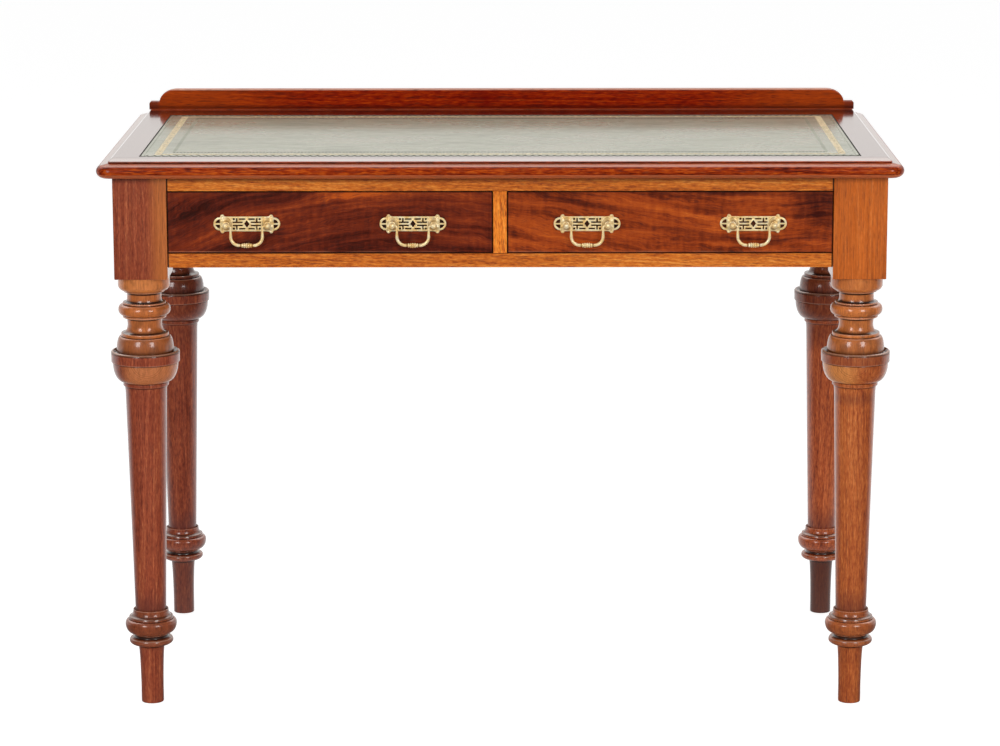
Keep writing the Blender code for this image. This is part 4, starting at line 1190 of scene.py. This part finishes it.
def add_motif(bm, centre, along, across, z):
    """One lozenge of the gilt roll with a dot in it, and two small leaves between it and the next."""
    def place(shares):
        verts = []
        for a, b in shares:
            point = centre + along * a + across * b
            verts.append(bm.verts.new((point.x, point.y, z)))
        return verts

    outer = place(LOZENGE)
    add_strips(bm, outer, place(LOZENGE_INSIDE))
    bm.faces.new(place(arc((0, 0), LOZENGE_DOT, 0, 315, 7)))
    for side in (-1, 1):
        bm.faces.new(place([(a, b * side) for a, b in GILT_LEAF]))


def filled_outline(loops, thickness, bevel):
    """A plate in the x-y plane with a bevelled edge: the first loop is its outline, the rest are holes."""
    curve = bpy.data.curves.new("outline", "CURVE")
    curve.dimensions = "2D"
    curve.fill_mode = "BOTH"
    curve.extrude = thickness / 2 - bevel
    curve.bevel_depth = bevel
    curve.bevel_resolution = 1
    curve.offset = -bevel
    for number, loop in enumerate(loops):
        area = sum(a[0] * b[1] - b[0] * a[1] for a, b in zip(loop, loop[1:] + loop[:1]))
        if (area > 0) != (number == 0):
            loop = list(reversed(loop))
        spline = curve.splines.new("POLY")
        spline.points.add(len(loop) - 1)
        for point, (x, y) in zip(spline.points, loop):
            point.co = (x, y, 0, 1)
        spline.use_cyclic_u = True
    item = add_object("outline", curve)
    mesh = evaluated_mesh(item)
    bpy.data.objects.remove(item)
    bpy.data.curves.remove(curve)
    return mesh


def plate_outline():
    """Straight field with a pointed leaf and a half-round lobe at each end."""
    leaf_x = FIELD_HALF_LENGTH + LEAF_HALF_WIDTH
    lobe_x = leaf_x + LEAF_HALF_WIDTH
    leaf = (LEAF_HALF_WIDTH * 0.8, LEAF_HALF_HEIGHT - FIELD_HALF_HEIGHT)
    quarter = [(FIELD_HALF_LENGTH - LEAF_HALF_WIDTH / 2, FIELD_HALF_HEIGHT)]
    quarter += arc((leaf_x, FIELD_HALF_HEIGHT), leaf, 170, 10, 10)
    quarter += arc((lobe_x, 0), (LOBE_RADIUS, LOBE_RADIUS), 90, 0, 14)
    right = quarter + [(x, -z) for x, z in reversed(quarter[:-1])]
    return right + [(-x, -z) for x, z in right]


def diamond(half_width, half_height):
    return [(half_width, 0), (0, half_height), (-half_width, 0), (0, -half_height)]


def plate_holes():
    """Piercings of one quarter, repeated in all four, and the diamond in the middle."""
    half_slot = SLOT_WIDTH / 2
    start, end = DASH_START, DASH_START + DASH_LENGTH
    low, high = DASH_HEIGHT - half_slot, DASH_HEIGHT + half_slot
    dash = [(start, low), (end, low), (end, high), (start, high)]
    start, end = PIERCED_HALF_LENGTH - BAR_LENGTH, PIERCED_HALF_LENGTH
    low, high = BAR_HEIGHT - half_slot, BAR_HEIGHT + half_slot
    stem = PIERCED_HALF_LENGTH - STEM_INSET
    inner, outer = stem - half_slot, stem + half_slot
    tee = [(start, low), (end, low), (end, high), (outer, high)]
    tee += [(outer, STEM_TOP), (inner, STEM_TOP), (inner, high), (start, high)]
    dot = arc((PIERCED_HALF_LENGTH - DOT_RADIUS, DASH_HEIGHT), (DOT_RADIUS, DOT_RADIUS), 0, 330, 11)
    lobe_x = FIELD_HALF_LENGTH + 2 * LEAF_HALF_WIDTH
    reach = LOBE_RADIUS - LOBE_RIM
    bar_turn = math.degrees(math.asin(LOBE_BAR / 2 / reach))
    fan = [(lobe_x, LOBE_BAR / 2), *arc((lobe_x, 0), (reach, reach), bar_turn, 90, 8)]
    holes = []
    for side in (-1, 1):
        for up in (-1, 1):
            holes += [[(side * x, up * z) for x, z in shape] for shape in (dash, tee, dot, fan)]
    return holes + [diamond(DIAMOND_HALF_WIDTH, DIAMOND_HALF_HEIGHT)]


def leaf_radius(share):
    """Half width of the upright leaf at a share of its half height: a knob at the tip over a slim body."""
    knob = max(0.0, 1 - ((share - 0.86) / 0.14) ** 2) ** 0.5 * 0.62
    body = max(0.0, 1 - (share / 0.80) ** 2) ** 0.5 * (0.78 - 0.22 * math.cos(share * 9.0))
    return max(LEAF_HALF_WIDTH * max(knob, body), LEAF_LEAST)


def add_leaf(bm, x, face):
    """The upright leaf beside a post, raised on the plate like a half-round spindle."""
    rings = []
    for i in range(1, LEAF_STEPS):
        share = -1 + 2 * i / LEAF_STEPS
        radius = leaf_radius(abs(share))
        section = arc((x, face), (radius, -LEAF_RELIEF * radius), 0, 180, LEAF_SIDES)
        section.append((x, face + PLATE_BEVEL))
        rings.append([(a, y, share * LEAF_HALF_HEIGHT) for a, y in section])
    add_loft(bm, rings)


def add_boss(bm, x, face):
    """The low dome of the plate round a post."""
    rings = []
    for rise, share, _ in BOSS_SECTION:
        radii = (BOSS_RADII[0] * share, BOSS_RADII[1] * share)
        loop = arc((x, 0), radii, 0, 360 - 360 / BRASS_SIDES, BRASS_SIDES - 1)
        rings.append([(a, face - BOSS_RISE * rise, b) for a, b in loop])
    add_loft(bm, rings, [value for _, _, value in BOSS_SECTION])


def add_diamond_rim(bm, face):
    """The raised rim round the diamond piercing."""
    loops = []
    for grow, rise in RIM_SECTION:
        width = DIAMOND_HALF_WIDTH + grow * DIAMOND_RIM
        height = DIAMOND_HALF_HEIGHT + grow * DIAMOND_RIM * DIAMOND_HALF_HEIGHT / DIAMOND_HALF_WIDTH
        loops.append([(a, face - DIAMOND_RIM_RISE * rise, b) for a, b in diamond(width, height)])
    loops.append(loops[0])
    add_loft(bm, loops, closed_ends=False)
    bmesh.ops.remove_doubles(bm, verts=bm.verts, dist=1e-7)


def make_plate(handle, body, material):
    """A pierced and chased backplate."""
    low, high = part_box(handle + "_backplate")
    mesh = filled_outline([plate_outline(), *plate_holes()], PLATE_THICKNESS, PLATE_BEVEL)
    bm = bmesh.new()
    bm.from_mesh(mesh)
    bpy.data.meshes.remove(mesh)
    bmesh.ops.transform(bm, matrix=UPRIGHT, verts=bm.verts)
    bmesh.ops.remove_doubles(bm, verts=bm.verts, dist=TOUCHING)
    face = -PLATE_THICKNESS / 2
    layer = bm.verts.layers.float.new(HOLLOW)
    for vert in bm.verts:
        # The plate's edge and piercing walls darkened: painted shade in the piercings
        vert[layer] = PLATE_EDGE_SHADE if vert.co.y > face + 1.5 * PLATE_BEVEL else 0.0
    add_diamond_rim(bm, face)
    for side in (-1, 1):
        add_leaf(bm, side * (FIELD_HALF_LENGTH + LEAF_HALF_WIDTH), face)
        add_boss(bm, side * (POST_SPREAD - BOSS_INSET), face)
    bmesh.ops.translate(bm, verts=bm.verts, vec=(low + high) / 2)
    add_piece(handle + "_backplate_chased", bm, material, body, "brass", handle + "_backplate")


def post_profile(foot, collar, eye):
    """(radius, distance to the front) along a handle post: its shank, collar, neck and ball."""
    rim = (COLLAR_THICKNESS * 0.4, COLLAR_THICKNESS * 0.5)
    profile = [(SHANK_TIP_RADIUS, foot), (SHANK_RADIUS, foot)]
    profile += [(SHANK_RADIUS, collar), (COLLAR_RADIUS, collar)]
    profile += arc((COLLAR_RADIUS - rim[0], collar + rim[1]), rim, 0, 90, 5)
    profile.append((NECK_RADIUS, collar + COLLAR_THICKNESS * 1.1))
    start = math.degrees(math.asin(NECK_RADIUS / HEAD_RADIUS))
    profile += arc((0.0, eye), (HEAD_RADIUS, HEAD_RADIUS), start - 90, 88, 16)
    return without_repeats(profile)


def drill_eye(post, x, pivot):
    """Bore the eye for the bail's pin through the ball of a post."""
    ends = (x - 2 * HEAD_RADIUS, x + 2 * HEAD_RADIUS)
    bore = circle(PIN_RADIUS + EYE_PLAY)
    rings = [[(end, pivot.y + a, pivot.z + b) for a, b in bore] for end in ends]
    drill = add_object("drill", finished_mesh("drill", lofted(rings)))
    add_modifier(post, "eye", "BOOLEAN", operation="DIFFERENCE", solver="EXACT", object=drill)
    bpy.context.view_layer.update()
    drilled = evaluated_mesh(post)
    post.modifiers.clear()
    post.data = drilled
    bpy.data.objects.remove(drill)


def make_posts(handle, body, material, pivot):
    """Turned posts, each with a drilled eye for the bail."""
    collar = -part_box(handle + "_backplate")[0].y + SEAT
    for word, side in (("left", -1), ("right", 1)):
        node = handle + "_post_" + word
        profile = post_profile(-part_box(node)[1].y, collar, -pivot.y)
        x = pivot.x + side * POST_SPREAD
        rings = [[(x + a, -reach, pivot.z + b) for a, b in circle(radius)] for radius, reach in profile]
        bm = lofted(rings, hollow_values(profile, POST_HOLLOW_REACH))
        post = add_piece(node + "_turned", bm, material, body, "brass", node)
        drill_eye(post, x, pivot)


def knop_radius(x):
    """Radius of the ringed knop at a place along it."""
    pitch = 2 * KNOP_HALF_LENGTH / len(KNOP_RING_RADII)
    share = min(max((x + KNOP_HALF_LENGTH) / pitch, 0.0), len(KNOP_RING_RADII) - TOUCHING)
    crest = KNOP_RING_RADII[int(share)]
    swell = math.sqrt(max(0.0, 1 - (2 * (share % 1) - 1) ** 2))
    return KNOP_GROOVE_RADIUS + (crest - KNOP_GROOVE_RADIUS) * swell


def bail_path():
    """(x, z, radius) along the bail from its right pin to its left one."""
    half_width = POST_SPREAD - HEAD_RADIUS - BAIL_NECK_BEND
    pin_end = POST_SPREAD + HEAD_RADIUS / 2
    path = [(pin_end, 0, PIN_RADIUS * 0.6), (pin_end - PIN_CHAMFER, 0, PIN_RADIUS)]
    neck = arc((half_width + BAIL_NECK_BEND, -BAIL_NECK_BEND), (BAIL_NECK_BEND,) * 2, 90, 180, 8)
    path += [(x, z, PIN_RADIUS) for x, z in neck]
    bend = (half_width - BAIL_CORNER_RADIUS, -BAIL_DROP + BAIL_CORNER_RADIUS)
    for i in range(1, BAIL_ARM_STEPS):
        share = i / BAIL_ARM_STEPS
        z = -BAIL_NECK_BEND + (bend[1] + BAIL_NECK_BEND) * share
        path.append((half_width, z, PIN_RADIUS + (BAIL_RADIUS - PIN_RADIUS) * share))
    path += [(x, z, BAIL_RADIUS) for x, z in arc(bend, (BAIL_CORNER_RADIUS,) * 2, 0, -90, 14)]
    for i in range(KNOP_STEPS + 1):
        x = KNOP_HALF_LENGTH * (1 - 2 * i / KNOP_STEPS)
        path.append((x, -BAIL_DROP, knop_radius(x)))
    right_arm = [point for point in path if point[0] > KNOP_HALF_LENGTH]
    return path + [(-x, z, radius) for x, z, radius in reversed(right_arm)]


def make_bail(handle, material, pivot):
    """The swinging bail with its ringed knop."""
    node = handle + "_bail"
    path = bail_path()
    rings = []
    values = []
    for i, (x, z, radius) in enumerate(path):
        before = path[max(i - 1, 0)]
        after = path[min(i + 1, len(path) - 1)]
        along = math.atan2(after[1] - before[1], after[0] - before[0])
        ring = []
        for a, b in circle(radius):
            ring.append((pivot.x + x - a * math.sin(along), pivot.y + b, pivot.z + z + a * math.cos(along)))
        rings.append(ring)
        in_knop = abs(x) <= KNOP_HALF_LENGTH
        values.append(max(0.0, (KNOP_DARK_BELOW - radius) / KNOP_DARK_OVER) if in_knop else 0.0)
    add_piece(node + "_cast", lofted(rings, values), material, node, "brass", node)


def make_handles(material):
    """All four drop handles, each with its plate, posts, bail and nuts."""
    pivots = {joint["child"]: Vector(joint["pos_m"]) for joint in frame["joints"] if joint["type"] == "hinge"}
    for drawer in ("left_drawer", "right_drawer"):
        for side in ("left", "right"):
            handle = drawer + "_" + side
            pivot = pivots[handle + "_bail"]
            make_plate(handle, drawer, material)
            make_posts(handle, drawer, material, pivot)
            make_bail(handle, material, pivot)
            for word in ("left", "right"):
                dress(handle + "_nut_" + word, material, NUT_ARRIS)


def floor_material():
    """White that keeps the table's shadow, is dim in reflections and can be seen through from below."""
    material, tree = new_material("floor")
    tree.nodes.clear()
    _, y, _ = add_node(tree, "NewGeometry", output="Position").parts()
    shade = add_node(tree, "BsdfDiffuse", {"Color": FLOOR_SHADE})
    shine = add_node(tree, "Emission", {"Color": WHITE, "Strength": FLOOR_GLOW})
    bright = add_node(tree, "AddShader", {0: shade, 1: shine})
    plain = add_node(tree, "BsdfDiffuse", {"Color": FLOOR_UNSEEN})
    mirrored = add_node(tree, "Emission", {"Strength": y.ranged(*FLOOR_MIRRORED_DEPTH, FLOOR_MIRRORED, 1.0)})
    in_mirror = add_node(tree, "LightPath", output="Is Glossy Ray")
    in_view = add_node(tree, "LightPath", output="Is Camera Ray")
    from_below = add_node(tree, "NewGeometry", output="Backfacing")
    clear = add_node(tree, "BsdfTransparent")
    unseen = add_node(tree, "MixShader", {0: in_mirror, 1: plain, 2: mirrored})
    above = add_node(tree, "MixShader", {0: in_view, 1: unseen, 2: bright})
    surface = add_node(tree, "MixShader", {0: from_below, 1: above, 2: clear})
    new_node(tree, "OutputMaterial", {"Surface": surface})
    return material


def make_floor():
    half = FLOOR_SIZE / 2
    corners = [(-half, -half), (half, -half), (half, half), (-half, half)]
    mesh = bpy.data.meshes.new("floor")
    mesh.from_pydata([(x, y, -FLOOR_DROP) for x, y in corners], [], [(0, 1, 2, 3)])
    floor = add_object("floor", mesh)
    floor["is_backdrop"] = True
    mesh.materials.append(floor_material())


def make_world():
    """A white surround to the eye, a room that is bright at the back, and a high gleam in reflections."""
    world = bpy.data.worlds.new("studio")
    bpy.context.scene.world = world
    world.use_nodes = True
    tree = world.node_tree
    tree.nodes.clear()
    _, towards_back, up = add_node(tree, "TexCoord", output="Generated").parts()
    in_mirror = add_node(tree, "LightPath", output="Is Glossy Ray")
    in_view = add_node(tree, "LightPath", output="Is Camera Ray")
    room = towards_back.ranged(*ROOM_DEPTH, ROOM_LIGHT, BACKDROP_LIGHT)
    high = towards_back.ranged(*GLEAM_DEPTH) * up.ranged(*GLEAM_RISE)
    strength = in_view.most(room + high * (in_mirror * GLEAM_LIGHT))
    color = in_mirror.pick(WHITE, high.pick(MIRRORED_COLOR, GLEAM_COLOR))
    background = add_node(tree, "Background", {"Color": color, "Strength": strength})
    new_node(tree, "OutputWorld", {"Surface": background})


def add_softbox(name, place, aim, size, watts, mirrored=True):
    light = bpy.data.lights.new(name, "AREA")
    light.shape = "RECTANGLE"
    light.size, light.size_y = size
    light.energy = watts
    item = add_object(name, light)
    item.location = place
    item.rotation_euler = (Vector(aim) - Vector(place)).to_track_quat("-Z", "Y").to_euler()
    item.visible_camera = False
    item.visible_glossy = mirrored


def make_lamps():
    """A softbox at each side and a lamp overhead, which isn't seen in reflections."""
    for name, side in (("softbox_left", -1), ("softbox_right", 1)):
        place = (side * SOFTBOX_PLACE[0], SOFTBOX_PLACE[1], SOFTBOX_PLACE[2])
        add_softbox(name, place, SOFTBOX_AIM, SOFTBOX_SIZE, SOFTBOX_WATTS)
    add_softbox("overhead", OVERHEAD_PLACE, (0.0, 0.0, 0.0), OVERHEAD_SIZE, OVERHEAD_WATTS, False)


def make_camera():
    lens = bpy.data.cameras.new("camera")
    lens.lens = CAMERA_LENS_MM
    lens.sensor_width = CAMERA_SENSOR_MM
    lens.clip_end = CAMERA_REACH
    item = add_object("camera", lens)
    turn = Matrix.Rotation(math.radians(CAMERA_YAW_DEG), 4, "Z")
    tilt = Matrix.Rotation(math.radians(90 - CAMERA_PITCH_DEG), 4, "X")
    roll = Matrix.Rotation(math.radians(CAMERA_ROLL_DEG), 4, "Z")
    item.matrix_world = Matrix.Translation(CAMERA_PLACE) @ turn @ tilt @ roll
    bpy.context.scene.camera = item


# Dark to light tones of the red wood in the front left leg and the aprons
REDS = palette((85, 29, 17), (132, 55, 33), (161, 76, 46), (193, 107, 64))


def make_legs():
    """Four legs of one shape, each with the tones, pith, spread and tints of its own wood; the back legs'
    tones and tints are darkened with painted shade.
    """
    oranges = palette((109, 43, 20), (164, 77, 34), (193, 102, 46), (217, 133, 70))
    # Darker copies of the tones, with painted shade for the back legs
    shaded = palette((78, 28, 16), (128, 54, 33), (160, 77, 46), (187, 103, 63))
    warm_shaded = palette((103, 38, 18), (164, 74, 37), (198, 101, 52), (220, 124, 69))
    for node, tones, pith, spread, tints in (
        ("leg_front_left", REDS, (-0.395, -0.10), 0.140, [
            (POST, POST_HALF - 0.030, 0.66, srgb(212, 124, 56)),
            (BOWL, -0.036, 0.70, srgb(212, 132, 78)),
            (UPPER_TURNING, EVERYWHERE, 0.58, srgb(214, 126, 56)),
            (COLLAR, EVERYWHERE, 0.45, srgb(226, 142, 76)),
            (DOME, EVERYWHERE, 0.48, srgb(104, 54, 32)),
            (FOOT_BEADS, EVERYWHERE, 0.40, srgb(126, 72, 38)),
        ]),
        ("leg_front_right", oranges, (0.40, -0.12), 0.132, [
            (POST, EVERYWHERE, 0.50, srgb(226, 112, 4)),
            (BOWL, -0.008, 0.66, srgb(228, 152, 80)),
            (UPPER_TURNING, EVERYWHERE, 0.48, srgb(214, 130, 62)),
            (DOME, EVERYWHERE, 0.32, srgb(124, 68, 38)),
            (BAND, EVERYWHERE, 0.50, srgb(122, 60, 40)),
            (FOOT_BEADS, EVERYWHERE, 0.35, srgb(146, 82, 42)),
            # Painted shade under the bowl
            (UNDER_BOWL_SHADE, EVERYWHERE, 0.40, srgb(96, 42, 34), 0.006),
        ]),
        # The back legs' dark tints are painted shade under the top
        ("leg_back_left", shaded, (-0.56, 0.32), 0.130, [
            (BOWL, EVERYWHERE, 0.30, srgb(84, 30, 16)),
            (SHAFT_HEAD, EVERYWHERE, 0.25, srgb(76, 28, 18), 0.020),
            (UPPER_TURNING, EVERYWHERE, 0.55, srgb(64, 16, 8)),
            (FOOT, EVERYWHERE, 0.42, srgb(76, 28, 14)),
        ]),
        ("leg_back_right", warm_shaded, (0.57, 0.33), 0.130, [
            (UPPER_TURNING, EVERYWHERE, 0.62, srgb(64, 16, 8)),
            (BAND, EVERYWHERE, 0.62, srgb(70, 24, 16)),
            (BOWL, EVERYWHERE, 0.62, srgb(72, 28, 20)),
            (SHAFT_HEAD, EVERYWHERE, 0.45, srgb(72, 26, 18), 0.020),
            (FOOT, EVERYWHERE, 0.88, srgb(68, 26, 12)),
        ]),
    ):
        look = {"spread": spread, "pored": 0.30, "coat": 0.75}
        make_leg(node, wood(node, "z", tones, pith, leg_tints(node, tints), **look))


def dress_rails():
    """Front rails, divider and aprons."""
    rails = palette((140, 60, 12), (188, 94, 22), (208, 114, 32), (226, 140, 54))
    pale = palette((172, 76, 16), (222, 118, 28), (240, 140, 40), (250, 166, 66))
    look = {"lean": 0.03, "spread": 0.085, "coat": 0.2, "pored": 0.40}
    rail_wood = wood("rail_wood", "x", rails, (-0.11, 0.78), shaded_joints, rings=260.0, **look)
    dress("front_top_rail", rail_wood)
    dress("front_bottom_rail", rail_wood)
    dress("drawer_divider", wood("divider_wood", "z", pale, (0.06, -0.10), **look))
    dress("back_apron", wood("back_apron_wood", "x", REDS, (0.10, 0.90)))
    side_wood = wood("side_apron_wood", "y", REDS, (0.90, 0.12))
    for word in ("left", "right"):
        dress("side_apron_" + word, side_wood)


def dress_bearers():
    """Runners, guides, kickers and drawer stops."""
    bearers = lining_wood("bearer_wood", "y")
    for kind in ("runner_", "guide_", "kicker_"):
        for word in ("left", "centre", "right"):
            dress(kind + word, bearers)
    blocks = lining_wood("stop_wood", "x")
    for drawer in ("left_drawer", "right_drawer"):
        for word in ("left", "right"):
            dress(drawer + "_stop_" + word, blocks)


def dress_top():
    """Top board, gallery and leather."""
    tones = palette((60, 10, 0), (112, 28, 0), (148, 48, 2), (182, 78, 14))
    # Wear with a painted highlight on the nose's worn edges, ledge and lower lip
    look = {"flecks": 90.0, "spread": 0.085, "gloss": 0.26, "coat": 0.25, "shine": 0.12, "wear_and_sheen": 0.75}
    edge_wood = wood("edge_wood", "x", tones, (0.05, 0.62), rings=360.0, worn=srgb(232, 140, 92), **look)
    deep = palette((30, 2, 0), (52, 7, 0), (72, 14, 1), (94, 24, 4))
    # Wear with a painted highlight on the roll and the side ledges
    look = {"gloss": 0.06, "relief": 0.05, "coat": 1.0, "depth": 1.7, "shine": 0.3, "wear_and_sheen": 0.75}
    tint = (1.0, 0.90, 0.82, 1.0)
    make_top(edge_wood, wood("flat_wood", "x", deep, (0.05, 0.62), rings=360.0, tint=tint, **look))
    reddish = palette((80, 4, 0), (126, 20, 0), (152, 38, 0), (178, 60, 2))
    look = {"rings": 360.0, "flecks": 90.0, "spread": 0.095, "coat": 0.0, "shine": 0.08}
    make_gallery(wood("gallery_wood", "x", reddish, (0.36, 0.85), gallery_shades, **look))
    low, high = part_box("leather_panel")
    make_hide(low, high, leather_material(low, high))
    make_gilt_band(low, high, gilt_material())


def dress_drawers():
    """Figured fronts and plain linings."""
    dark = palette((48, 8, 0), (84, 22, 4), (116, 38, 8), (146, 56, 12), (190, 82, 10))
    warm = palette((60, 9, 0), (106, 34, 2), (152, 58, 6), (180, 78, 14), (210, 106, 26))
    fronts = {
        "left_drawer": (dark, (0.07, 0.75, 0.06, 4.0), [
            ((-0.185, 0.704), (0.10, 0.024), 0.15),
            ((-0.300, 0.690), (0.12, 0.022), 0.01),
            ((-0.045, 0.668), (0.05, 0.05), 0.05),
            ((-0.220, 0.632), (0.26, 0.026), -0.06),
            ((-0.410, 0.665), (0.06, 0.050), -0.04),
        ]),
        "right_drawer": (warm, (-0.14, -0.30, -0.05, 9.0), [
            ((0.285, 0.706), (0.10, 0.014), -0.15),
            ((0.420, 0.690), (0.05, 0.040), -0.095),
            ((0.200, 0.685), (0.12, 0.035), 0.04),
            ((0.100, 0.640), (0.10, 0.030), 0.03),
        ]),
    }
    sides = lining_wood("drawer_side_wood", "y")
    backs = lining_wood("drawer_back_wood", "x")
    for drawer, (tones, figure, patches) in fronts.items():
        plates = [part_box(drawer + side + "_backplate") for side in ("_left", "_right")]
        front = drawer + "_front"
        material = flame_veneer(drawer + "_veneer", tones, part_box(front), figure, patches, plates)
        dress(front, material, FRONT_ARRIS)
        for word in ("side_left", "side_right"):
            dress(drawer + "_" + word, sides)
        for word in ("back", "bottom"):
            dress(drawer + "_" + word, backs)


def write_sizes():
    boxes = {"cad": CAD_BOX, "visual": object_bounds()}
    {name: [list(corner) for corner in corners] for name, corners in boxes.items()}


bpy.context.scene.view_settings.view_transform = "Standard"
make_legs()
dress_rails()
dress_bearers()
dress_top()
dress_drawers()
make_handles(brass_material())
make_floor()
make_world()
make_lamps()
make_camera()
write_sizes()
